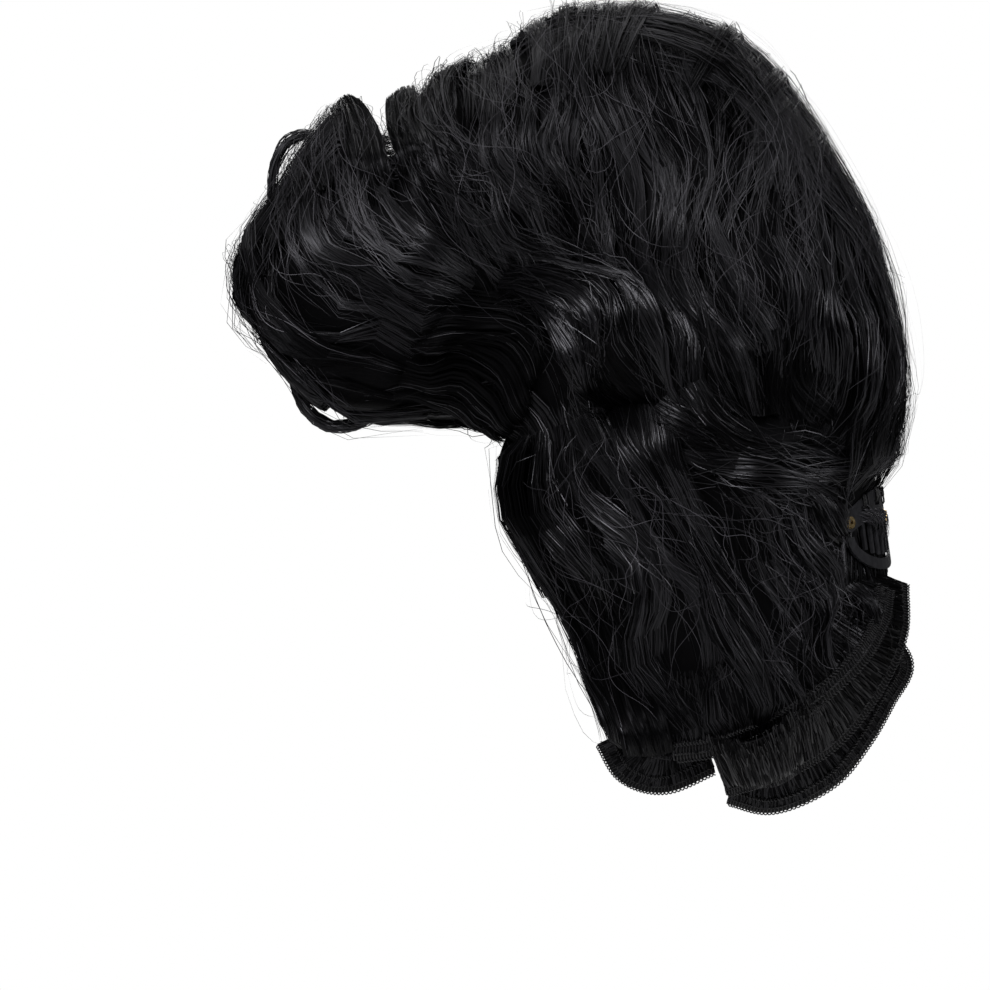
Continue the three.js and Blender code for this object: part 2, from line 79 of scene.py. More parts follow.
def soft_panel(name, place, width, height, power):
    """An area light that faces the middle of the bundle."""
    light = bpy.data.lights.new(name, "AREA")
    light.shape = "RECTANGLE"
    light.size, light.size_y, light.energy = width, height, power
    panel = bpy.data.objects.new(name, light)
    panel.location = place
    panel.rotation_euler = (Vector((0.01, 0, 0.01)) - Vector(place)).to_track_quat("-Z", "Y").to_euler()
    bpy.context.collection.objects.link(panel)
    return panel


def plain_room(dim):
    """A room that is white to the camera and dim to everything else."""
    world = bpy.data.worlds.new("room")
    bpy.context.scene.world = world
    world.use_nodes = True
    nodes, links = world.node_tree.nodes, world.node_tree.links
    background = nodes["Background"]
    background.inputs["Color"].default_value = (1, 1, 1, 1)
    path = nodes.new("ShaderNodeLightPath")
    strength = nodes.new("ShaderNodeMapRange")
    strength.inputs["To Min"].default_value = dim
    strength.inputs["To Max"].default_value = 1.0
    links.new(path.outputs["Is Camera Ray"], strength.inputs["Value"])
    links.new(strength.outputs["Result"], background.inputs["Strength"])


plain_room(0.06)
soft_panel("key_panel", (-0.35, -0.95, 0.5), 0.4, 0.4, 13)
soft_panel("fill_panel", (0.85, -0.6, 0.25), 0.3, 0.6, 5)
soft_panel("top_panel", (0.1, 0.1, 0.95), 0.6, 0.4, 4)
soft_panel("back_panel", (0.2, 0.9, 0.4), 0.6, 0.6, 5)

bpy.ops.mesh.primitive_plane_add(size=FLOOR_SIDE, location=(0, 0, FLOOR_LEVEL))
floor = bpy.context.object
floor.name = "floor"
floor_paper = bpy.data.materials.new("floor_paper")
floor_paper.use_nodes = True
floor_paper.node_tree.nodes["Principled BSDF"].inputs["Base Color"].default_value = (0.85, 0.85, 0.85, 1)
floor_paper.node_tree.nodes["Principled BSDF"].inputs["Roughness"].default_value = 0.9
floor.data.materials.append(floor_paper)
bpy.context.scene.view_settings.view_transform = "Standard"

# %% [markdown]
# ## The form of the bundle
#
# The bundle is a loft through oval cross-sections that turn round an arch, from the stitched end at the
# lower right, over the crest, to the looped ends on the left. Every lock lies on that loft, so a place on
# it has two numbers: how far round the arch, and the angle round the oval.

# %% The loft
WIDTH, HEIGHT, DEPTH = 0.1384, 0.1616, 0.062
FULLNESS = 0.86
PINCH = 0.7

# Inner x and z, outer x and z, and depth of each cross-section, as percent of WIDTH, HEIGHT and DEPTH
SECTIONS = [
    (21, -38, 44, -37, 28),
    (15, -34, 49.5, -30, 42),
    (11, -28, 52.5, -24, 54),
    (6, -19, 53.5, -18, 64),
    (3, -9.5, 52.5, -9.5, 76),
    (2, -3, 55, 0.5, 88),
    (1.5, -1, 56.5, 9.5, 96),
    (1, -0.5, 52.5, 24, 100),
    (0.5, 0, 45, 35.5, 100),
    (-0.5, 0.5, 34.5, 47.5, 98),
    (-1.5, 1, 21, 52, 94),
    (-2.5, 1.5, 8, 51.5, 90),
    (-4, 1.5, -3.5, 46.5, 86),
    (-6, 2, -12.5, 41.5, 80),
    (-9.5, 2, -17, 36.5, 72),
    (-13.5, 2.5, -24, 39.5, 68),
    (-18, 2.5, -32, 30, 60),
    (-22.5, 3, -37.5, 19.5, 46),
    (-26, 6.5, -32.5, 12.5, 24),
]


def spline(pick, last, share):
    """A smooth curve, at shares from 0 to 1 of its length, through what pick gives for rows 0 to last."""
    place = np.clip(share, 0, 1) * last
    i = np.minimum(place.astype(int), last - 1)
    f = (place - i)[..., None]
    b, c = pick(i), pick(i + 1)
    a = np.where((i > 0)[..., None], pick(np.maximum(i - 1, 0)), 2 * b - c)
    d = np.where((i < last - 1)[..., None], pick(np.minimum(i + 2, last)), 2 * c - b)
    squared, cubed = 2 * a - 5 * b + 4 * c - d, 3 * b - a - 3 * c + d
    return 0.5 * (2 * b + (c - a) * f + squared * f**2 + cubed * f**3)


def through(rows, share):
    """The smooth curve through the rows of a table."""
    rows = np.asarray(rows, float)
    return spline(lambda i: rows[i], len(rows) - 1, share)


def unit(vectors):
    """Vectors with their length made 1."""
    return vectors / np.maximum(np.linalg.norm(vectors, axis=-1, keepdims=True), 1e-12)


VIEW_PIXEL = VIEW_WIDTH / 990
ORIGIN_IN_VIEW = (505, 445)


def from_view(x, y):
    """The front view's pixels, 990 across and down, as x and z in metres."""
    return (x - ORIGIN_IN_VIEW[0]) * VIEW_PIXEL, (ORIGIN_IN_VIEW[1] - y) * VIEW_PIXEL


def nearness(points, x, y, reach):
    """1 at a place in the front view, falling softly to 0 round it, with a reach in millimetres."""
    right, high = from_view(x, y)
    away = ((points[..., 0] - right) ** 2 + (points[..., 2] - high) ** 2) / (reach / 1000) ** 2
    return np.exp(-away)


# Soft swells and hollows: x and y in the view, then reach and height in millimetres
FRONT_SWELLS = [
    (770, 398, 8, -8), (620, 385, 8, -6), (600, 620, 8, -5), (570, 222, 6, -3.5), (475, 345, 10, -5),
    (670, 235, 7, 2.5), (770, 165, 6, 2), (838, 330, 7, 2.5), (748, 290, 6, 2), (740, 470, 8, 2.5),
    (665, 590, 7, 2), (778, 600, 7, 2), (730, 640, 6, 1.5), (420, 278, 7, 2.5), (300, 265, 7, 2.5),
    (350, 312, 5, 1.5), (425, 332, 5, 1.5), (430, 170, 4, 2), (885, 400, 6, 1.5), (640, 480, 6, 1.5),
    (850, 642, 7, 2.5), (812, 672, 8, 3.2), (765, 700, 8, 3.4), (715, 718, 8, 3.4), (665, 728, 8, 3.6),
    (628, 735, 6, 3),
]
BACK_SWELLS = [
    (745, 745, 10, 4), (700, 600, 12, 2), (780, 300, 12, 3), (700, 150, 10, 2), (380, 250, 10, 2),
]


def swollen(point, angle):
    """How far the hair swells out or dips in at points of the loft."""
    height = np.zeros(point.shape[:-1])
    for side, swells in ((-1, FRONT_SWELLS), (1, BACK_SWELLS)):
        facing = np.clip(side * np.sin(angle) * 1.5, 0, 1)
        for x, y, reach, rise in swells:
            height += facing * rise / 1000 * nearness(point, x, y, reach)
    return height


def on_bundle(turn, angle, lift=0.0):
    """A point of the loft and the direction that faces out of it, lifted by some metres."""
    row = through(SECTIONS, turn) / 100
    inner = np.stack([row[..., 0] * WIDTH, np.zeros_like(turn), row[..., 1] * HEIGHT], -1)
    outer = np.stack([row[..., 2] * WIDTH, np.zeros_like(turn), row[..., 3] * HEIGHT], -1)
    half = row[..., 4] * DEPTH / 2
    across = np.sign(np.cos(angle)) * np.abs(np.cos(angle)) ** FULLNESS
    out = np.sign(np.sin(angle)) * np.abs(np.sin(angle)) ** FULLNESS
    squeeze = 1 - PINCH * np.sin(np.pi * turn) ** 2 * ((1 - across) / 2) ** 2
    point = inner + (outer - inner) * (0.5 + across / 2)[..., None]
    point[..., 1] = half * out * squeeze
    span = np.linalg.norm(outer - inner, axis=-1) / 2
    facing = unit(outer - inner) * (np.cos(angle) * half * squeeze)[..., None]
    facing[..., 1] = np.sin(angle) * span
    facing = unit(facing)
    lift = np.asarray(lift) + swollen(point, angle)
    return point + facing * lift[..., None], facing


KEEP_NEAR = 1e-4
SEAT_TURNS, SEAT_ANGLES = np.meshgrid(np.linspace(0, 1, 361), np.linspace(-np.pi, 0, 121), indexing="ij")
SEAT_POINTS = on_bundle(SEAT_TURNS, SEAT_ANGLES)[0]


def seat(guide):
    """Turns a guide drawn in the front view's pixels into places on the loft."""
    places, near = [], None
    for x, y in guide:
        right, high = from_view(x, y)
        miss = (SEAT_POINTS[..., 0] - right) ** 2 + (SEAT_POINTS[..., 2] - high) ** 2
        if near is not None:
            miss = miss + (SEAT_TURNS - near[0]) ** 2 * KEEP_NEAR
        k = np.unravel_index(np.argmin(miss), miss.shape)
        near = (SEAT_TURNS[k], SEAT_ANGLES[k])
        places.append(near)
    return places


print("loft with", len(SECTIONS), "cross-sections")

# %% [markdown]
# ## Hair finish
#
# Black synthetic hair is almost without colour of its own: what shows is the gloss that runs across a lock
# where it bends to the light. The shader is close to black, with a faint violet cast, its gloss is
# stretched across the strands, and fine streaks along them come from noise drawn out on the UV map, whose
# first axis is across a strand and whose second runs along it, in metres.

# %% Hair material
HAIR_DARK = (0.0006, 0.0006, 0.0007, 1)
HAIR_LIGHT = (0.0022, 0.0021, 0.0026, 1)
HAIR_GLINT = (0.0085, 0.0081, 0.0098, 1)
LOOSE_GLINT = (0.040, 0.038, 0.044, 1)
CREST_FADE = (0.022, 0.055)
CREST_ROUGHNESS = 0.40
STREAK_ROUGHNESS = 0.25


def noisy_finish(name, grain, detail, ends, low, high, relief, relief_depth):
    """A material whose noise runs its colour from low to high and gives it a fine relief."""
    material = bpy.data.materials.new(name)
    material.use_nodes = True
    nodes, links = material.node_tree.nodes, material.node_tree.links
    shader = nodes["Principled BSDF"]
    noise = nodes.new("ShaderNodeTexNoise")
    noise.inputs["Scale"].default_value = grain
    noise.inputs["Detail"].default_value = detail
    colours = nodes.new("ShaderNodeValToRGB")
    for element, position, colour in zip(colours.color_ramp.elements, ends, (low, high)):
        element.position, element.color = position, colour
    links.new(noise.outputs["Fac"], colours.inputs["Fac"])
    links.new(colours.outputs["Color"], shader.inputs["Base Color"])
    bump = nodes.new("ShaderNodeBump")
    bump.inputs["Strength"].default_value = relief
    bump.inputs["Distance"].default_value = relief_depth
    links.new(noise.outputs["Fac"], bump.inputs["Height"])
    links.new(bump.outputs["Normal"], shader.inputs["Normal"])
    return material, nodes, links, shader, noise


def mapped(nodes, links, value, low, high):
    """A node that runs from low to high where the value runs from 0 to 1."""
    node = nodes.new("ShaderNodeMapRange")
    node.inputs["To Min"].default_value, node.inputs["To Max"].default_value = low, high
    links.new(value, node.inputs["Value"])
    return node


def hair_finish(name, roughness, relief, streaks, light, gloss):
    """A near-black glossy material with streaks along the UV map's second axis, duller on the crest."""
    material, nodes, links, shader, noise = noisy_finish(
        name, 1.0, 2.0, (0.35, 0.7), HAIR_DARK, light, relief, 0.00006)
    shader.inputs["Anisotropic"].default_value = 0.55
    shader.inputs["Specular IOR Level"].default_value = gloss
    shader.inputs["Specular Tint"].default_value = (0.93, 0.92, 1.0, 1)

    uv = nodes.new("ShaderNodeUVMap")
    uv.uv_map = "strand"
    stretch = nodes.new("ShaderNodeMapping")
    stretch.inputs["Scale"].default_value = (*streaks, 1)
    links.new(uv.outputs["UV"], stretch.inputs["Vector"])
    links.new(stretch.outputs["Vector"], noise.inputs["Vector"])

    coordinates = nodes.new("ShaderNodeTexCoord")
    place = nodes.new("ShaderNodeSeparateXYZ")
    links.new(coordinates.outputs["Object"], place.inputs["Vector"])
    crest = mapped(nodes, links, place.outputs["Z"], 0, 1)
    crest.inputs["From Min"].default_value, crest.inputs["From Max"].default_value = CREST_FADE
    dull = mapped(nodes, links, crest.outputs["Result"], roughness, CREST_ROUGHNESS)
    uneven = nodes.new("ShaderNodeMath")
    uneven.operation = "MULTIPLY_ADD"
    uneven.inputs[1].default_value = STREAK_ROUGHNESS
    links.new(noise.outputs["Fac"], uneven.inputs[0])
    links.new(dull.outputs["Result"], uneven.inputs[2])
    links.new(uneven.outputs["Value"], shader.inputs["Roughness"])

    tangent = nodes.new("ShaderNodeTangent")
    tangent.direction_type = "UV_MAP"
    tangent.uv_map = "strand"
    links.new(tangent.outputs["Tangent"], shader.inputs["Tangent"])
    return material


# Relief, and how often the streaks change across and along a strand, per metre
WISP_STREAKS = 0.8, (3500, 60)
STRAND_STREAKS = 0.0, (300, 20)

# Packed hair: a dull, dark copy of the hair for the core under the locks, as painted shade between them.
PACKED_SHADE_HAIR = hair_finish("packed_shade_hair", 0.45, *WISP_STREAKS, HAIR_DARK, 0.05)
# Deep hair: a duller copy of the hair, put where shade falls, as painted shade.
PAINTED_SHADE_HAIR = hair_finish("painted_shade_hair", 0.34, *WISP_STREAKS, HAIR_DARK, 0.05)
SHADED_HAIR = hair_finish("shaded_hair", 0.22, *WISP_STREAKS, HAIR_DARK, 0.19)
# The lobe's copy is darker and less glossy than the wisps': painted shade that dims the lobe.
SHADED_LOBE_HAIR = hair_finish("shaded_lobe_hair", 0.2, *WISP_STREAKS, HAIR_DARK, 0.225)
WISP_HAIR = hair_finish("wisp_hair", 0.19, *WISP_STREAKS, HAIR_LIGHT, 0.26)
STRAND_HAIR = hair_finish("strand_hair", 0.22, *STRAND_STREAKS, HAIR_GLINT, 0.28)
LOOSE_HAIR = hair_finish("loose_hair", 0.26, *STRAND_STREAKS, LOOSE_GLINT, 0.24)
print("hair finishes:", [m.name for m in bpy.data.materials if m.name.endswith("_hair")])

# %% [markdown]
# ## The form under the locks
#
# Under the loose strands the hair is imported solid. That packed form is a tube from a bmesh cylinder, cut
# into rings and drawn onto the loft, a little below its surface, in the three parts of the frame. Its dull,
# dark copy of the hair paints the shade that falls between the locks over it.

# %% A tube drawn to a shape
def add_object(name, mesh, material, body="bundle"):
    """Links a finished mesh at the origin, on its body and in its material slot."""
    piece = bpy.data.objects.new(name, mesh)
    bpy.context.collection.objects.link(piece)
    mesh.materials.append(material)
    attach(piece, body)
    return piece


def draw_streaks(mesh):
    """UVs that run up the mesh, so that the streaks of packed hair do too."""
    corners = np.array([mesh.vertices[loop.vertex_index].co[:] for loop in mesh.loops])
    uv = mesh.uv_layers.new(name="strand")
    uv.data.foreach_set("uv", np.stack([corners[:, 0] + corners[:, 1], corners[:, 2]], -1).ravel())


def drawn_tube(name, sides, rings, shape):
    """A capped cylinder whose vertices go where shape(share along, angle, radius) says."""
    form = bmesh.new()
    bmesh.ops.create_cone(form, cap_ends=True, cap_tris=False, segments=sides,
                          radius1=1, radius2=1, depth=1)
    long_edges = [e for e in form.edges if abs(e.verts[0].co.z - e.verts[1].co.z) > 0.5]
    bmesh.ops.subdivide_edges(form, edges=long_edges, cuts=rings - 1, use_grid_fill=True)
    flat = np.array([v.co[:] for v in form.verts])
    drawn = shape(flat[:, 2] + 0.5, np.arctan2(flat[:, 1], flat[:, 0]), np.hypot(flat[:, 0], flat[:, 1]))
    for vertex, place in zip(form.verts, drawn):
        vertex.co = place
    bmesh.ops.recalc_face_normals(form, faces=form.faces)
    mesh = bpy.data.meshes.new(name)
    form.to_mesh(mesh)
    form.free()
    for polygon in mesh.polygons:
        polygon.use_smooth = True
    return mesh


# %% Packed forms
FORM_DEPTH = -0.0016
FORM_SIDES = 40
RINGS_PER_ROW = 6
LOWER_CUT_ROW = 5
LOBE_CUT_ROW = 14
LAST_ROW = len(SECTIONS) - 1


def packed_form(name, node, first_row, last_row):
    """The solid core of one stretch of the loft, in place of a hair solid of the frame."""
    start, stop = first_row / LAST_ROW, last_row / LAST_ROW

    def shape(share, angle, radius):
        return on_bundle(start + share * (stop - start), angle, np.full(len(share), FORM_DEPTH))[0]

    mesh = drawn_tube(name, FORM_SIDES, RINGS_PER_ROW * (last_row - first_row), shape)
    draw_streaks(mesh)
    form = add_object(name, mesh, PACKED_SHADE_HAIR)
    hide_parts(node)
    return form


FORMS = [
    packed_form("packed_lower_hair", "lower_hair", 0, LOWER_CUT_ROW),
    packed_form("packed_upper_hair", "upper_hair", LOWER_CUT_ROW, LOBE_CUT_ROW),
    packed_form("packed_lobe_hair", "lobe_hair", LOBE_CUT_ROW, LAST_ROW),
]
print("packed forms:", [(f.name, len(f.data.polygons)) for f in FORMS])

# %% [markdown]
# ## How the hair falls
#
# Each region has a few guides, drawn in the front view's pixels, and every lock lies between two of them.
# The regions that begin at the outline also run over it to the back.

# %% Guides
GUIDES = {
    "body": [
        [(388, 98), (392, 130), (398, 165), (412, 205), (445, 245), (490, 285)],
        [(402, 93), (408, 130), (425, 165), (455, 200), (478, 245), (508, 290)],
        [(430, 82), (438, 125), (452, 165), (475, 205), (500, 245), (532, 278)],
        [(455, 52), (462, 100), (475, 145), (498, 190), (522, 230), (562, 265)],
        [(500, 35), (505, 85), (512, 130), (525, 175), (548, 215), (588, 258)],
        [(540, 18), (542, 75), (548, 130), (560, 180), (578, 225), (606, 272)],
        [(570, 10), (572, 80), (580, 145), (592, 200), (604, 250), (622, 300), (642, 350), (652, 400)],
        [(603, 8), (610, 75), (624, 140), (642, 195), (656, 245),
         (668, 290), (680, 335), (700, 380), (725, 415)],
        [(642, 8), (655, 70), (672, 130), (690, 180), (686, 230),
         (676, 280), (690, 325), (714, 370), (740, 418)],
        [(692, 14), (702, 70), (716, 130), (713, 190), (706, 240),
         (716, 290), (730, 335), (748, 375), (756, 418)],
        [(732, 33), (743, 85), (753, 140), (749, 190), (743, 240),
         (756, 285), (764, 325), (768, 370), (772, 415)],
        [(760, 58), (768, 100), (773, 150), (776, 200), (779, 250),
         (790, 288), (788, 335), (785, 380), (794, 430)],
        [(778, 83), (791, 130), (802, 175), (812, 215), (812, 255),
         (808, 292), (830, 328), (844, 362), (834, 410), (818, 450)],
        [(797, 110), (816, 155), (833, 195), (846, 235), (853, 275),
         (860, 315), (869, 352), (872, 395), (858, 440), (840, 475)],
        [(826, 150), (846, 190), (862, 232), (880, 262), (891, 308),
         (895, 350), (903, 390), (896, 430), (876, 465), (852, 490)],
    ],
    "sweep": [
        [(560, 52), (610, 58), (660, 72), (705, 98), (742, 138), (772, 190), (800, 250)],
        [(545, 36), (598, 38), (655, 50), (706, 72), (752, 112), (790, 168), (826, 232)],
        [(545, 24), (600, 22), (660, 30), (712, 50), (760, 88), (802, 145), (846, 215)],
        [(558, 15), (612, 12), (662, 16), (712, 30), (755, 58), (800, 112), (850, 185)],
    ],
    "lobe": [
        [(363, 103), (368, 140), (378, 180), (398, 215), (430, 245), (478, 278)],
        [(341, 100), (345, 150), (355, 200), (378, 240), (415, 270), (472, 294)],
        [(320, 103), (322, 160), (325, 210), (345, 255), (390, 290), (458, 306)],
        [(302, 132), (306, 185), (302, 235), (320, 280), (370, 312), (452, 322)],
        [(285, 150), (288, 200), (280, 250), (292, 300), (340, 335), (425, 346)],
        [(270, 180), (262, 230), (255, 275), (270, 318), (320, 355), (408, 376)],
        [(250, 215), (240, 260), (240, 295), (262, 335), (305, 375), (392, 400)],
        [(232, 262), (224, 288), (236, 318), (265, 352), (300, 392), (355, 417), (430, 420)],
    ],
    "lower": [
        [(520, 440), (518, 490), (530, 545), (541, 600), (560, 650), (585, 682), (602, 722), (615, 762)],
        [(548, 430), (550, 480), (565, 530), (600, 575), (616, 620), (622, 670), (640, 720), (652, 765)],
        [(575, 420), (580, 470), (600, 515), (640, 560), (661, 605), (660, 655), (675, 705), (700, 745)],
        [(605, 405), (612, 450), (632, 495), (668, 535), (701, 580), (712, 630), (722, 680), (744, 738)],
        [(640, 400), (645, 450), (665, 490), (705, 540), (740, 590), (754, 640), (768, 680), (788, 722)],
        [(700, 470), (725, 500), (755, 530), (776, 575), (786, 620), (798, 660), (820, 698)],
        [(745, 480), (780, 500), (800, 535), (815, 580), (828, 625), (850, 672)],
        [(790, 490), (815, 520), (840, 560), (858, 600), (874, 640)],
        [(830, 510), (850, 540), (872, 575), (884, 605)],
    ],
    "under": [
        [(470, 292), (505, 300), (530, 312), (546, 335)],
        [(440, 322), (490, 325), (520, 345), (536, 378)],
        [(415, 350), (465, 350), (505, 375), (526, 412)],
        [(400, 380), (450, 385), (490, 405), (516, 432)],
        [(390, 402), (430, 405), (470, 420), (506, 442)],
    ],
    "waist": [
        [(640, 430), (680, 460), (730, 478), (790, 490), (845, 500)],
        [(655, 405), (690, 435), (740, 458), (800, 475), (860, 490)],
        [(690, 385), (720, 420), (765, 445), (820, 465), (872, 478)],
    ],
    "front_locks": [
        [(498, 296), (522, 303), (540, 320), (553, 345), (562, 370), (580, 396), (606, 404)],
        [(498, 288), (535, 296), (556, 315), (570, 345), (578, 372), (594, 392), (620, 410)],
        [(502, 280), (550, 288), (582, 305), (598, 330), (606, 358), (622, 388), (640, 420)],
        [(508, 272), (565, 280), (608, 294), (628, 322), (636, 352), (645, 388), (660, 425)],
        [(518, 262), (580, 270), (626, 284), (648, 312), (656, 348), (664, 388), (684, 428)],
    ],
    "pinch": [
        [(470, 270), (500, 320), (520, 370), (540, 420), (560, 460)],
        [(510, 255), (540, 310), (562, 360), (580, 410), (595, 450)],
        [(560, 250), (590, 305), (608, 355), (622, 400), (636, 440)],
        [(610, 250), (640, 305), (656, 355), (668, 400), (684, 445)],
        [(660, 270), (690, 320), (704, 365), (716, 410), (732, 455)],
    ],
    "hollow": [
        [(675, 300), (700, 352), (735, 400), (780, 440)],
        [(712, 300), (735, 352), (765, 395), (800, 435)],
        [(750, 300), (762, 350), (785, 392), (820, 430)],
        [(790, 300), (800, 350), (812, 392), (840, 425)],
    ],
}
OVER_THE_EDGE = {"body": 0.9, "lobe": 0.9}
GUIDE_STEPS = np.linspace(0, 1, 24)


def seated(guides, over):
    """Guides as places on the loft, begun on the far side of the outline where over is given."""
    rows = []
    for guide in guides:
        places = seat(guide)
        if over:
            turn = places[0][0]
            places = [(turn, over), (turn, over / 3)] + places
        rows.append(through(places, GUIDE_STEPS))
    return np.array(rows)


def mirrored(field):
    """The same guides on the back."""
    return field * (1, -1)


def lay(field, across, along):
    """Places on the loft for strands at shares across the guides, each n by m, at m shares along them."""
    rows = np.stack([through(guide, along) for guide in field])
    column = np.broadcast_to(np.arange(len(along)), across.shape)
    return spline(lambda i: rows[i, column], len(rows) - 1, across)


FIELDS = {name: seated(guides, OVER_THE_EDGE.get(name, 0)) for name, guides in GUIDES.items()}
print("guides:", {name: len(field) for name, field in FIELDS.items()})

# %% [markdown]
# ## Locks, wisps and strands
#
# Wavy hair hangs together at three scales. A lock is some 8 mm across and carries the big wave. Wisps lie
# side by side and over each other in it, each a narrow flat ribbon, turned a little about its own run so
# that it catches the light by itself. Single strands run along the wisps and now and then stray from
# them. All are ribbons, made as one mesh per region from arrays.

# %% Ribbons from arrays
RIBBON_DICE = np.random.default_rng(11)
STREAK_SPREAD = 7


def ribbon_parts(paths, facing, widths, ridge=0):
    """Corner points, faces and UVs of ribbons, n strands by m points; ridge lifts the middle."""
    n, m = paths.shape[:2]
    across = unit(np.cross(np.gradient(paths, axis=1), facing)) * widths[..., None]
    drop = unit(facing) * widths[..., None] * 2 * ridge
    shares = (-0.5, 0, 0.5) if ridge else (-0.5, 0.5)
    points = np.stack([paths + share * across - abs(share) * drop for share in shares], 2)
    index = np.arange(n * m * len(shares)).reshape(n, m, len(shares))
    faces = np.stack([index[:, :-1, :-1], index[:, :-1, 1:], index[:, 1:, 1:], index[:, 1:, :-1]], -1)
    length = np.linalg.norm(np.diff(paths, axis=1), axis=-1).cumsum(axis=1)
    length = np.concatenate([np.zeros((n, 1)), length], 1)
    start = RIBBON_DICE.random((n, 1)) * STREAK_SPREAD
    u = np.stack([start + share * widths for share in shares], -1)
    v = np.broadcast_to((length + start)[..., None], u.shape)
    return points.reshape(-1, 3), faces.reshape(-1, 4), np.stack([u, v], -1).reshape(-1, 2)


def mesh_from_parts(name, parts):
    """One mesh from several sets of points, faces and UVs."""
    base, points, faces, uvs = 0, [], [], []
    for p, f, t in parts:
        points.append(p)
        faces.append(f + base)
        uvs.append(t)
        base += len(p)
    points, faces, uvs = np.concatenate(points), np.concatenate(faces), np.concatenate(uvs)
    mesh = bpy.data.meshes.new(name)
    mesh.vertices.add(len(points))
    mesh.vertices.foreach_set("co", points.astype(np.float32).ravel())
    mesh.loops.add(faces.size)
    mesh.loops.foreach_set("vertex_index", faces.astype(np.int32).ravel())
    mesh.polygons.add(len(faces))
    mesh.polygons.foreach_set("loop_start", np.arange(0, faces.size, 4, dtype=np.int32))
    mesh.update(calc_edges=True)
    layer = mesh.uv_layers.new(name="strand")
    layer.data.foreach_set("uv", uvs[faces.ravel()].astype(np.float32).ravel())
    mesh.polygons.foreach_set("use_smooth", np.full(len(faces), True))
    mesh.validate()
    return mesh


# %% Combing a region
STEP_LENGTH = 0.0052
LOCK_RISE = 0.0036
WAVE_LENGTH = 0.046
DEPTH_WAVE = 0.0015
SIDE_WAVE = 0.0024
LOCK_ROUNDNESS = 0.92
TUCK_FROM = 0.82


def wobble(dice, count, along, waves, size):
    """Smooth random sway of count strands, as waves of some number along them."""
    phase = dice.random((count, 1)) * 2 * np.pi
    rate = waves * (0.75 + 0.5 * dice.random((count, 1)))
    return size * np.sin(2 * np.pi * rate * along + phase)


def twisted(dice, paths, facing, spread):
    """The directions that ribbons face, each turned about its own run by a random angle that drifts."""
    count, steps = paths.shape[:2]
    along = np.linspace(0, 1, steps)
    angle = dice.normal(0, spread, (count, 1)) + wobble(dice, count, along, 1.5, spread * 0.5)
    side = unit(np.cross(unit(np.gradient(paths, axis=1)), facing))
    return facing * np.cos(angle)[..., None] + side * np.sin(angle)[..., None]


def on_field(field, across, along, lift):
    """Points of the loft for shares across and along a field of guides, and what they face."""
    places = lay(field, across, along)
    return on_bundle(places[..., 0], places[..., 1], lift)


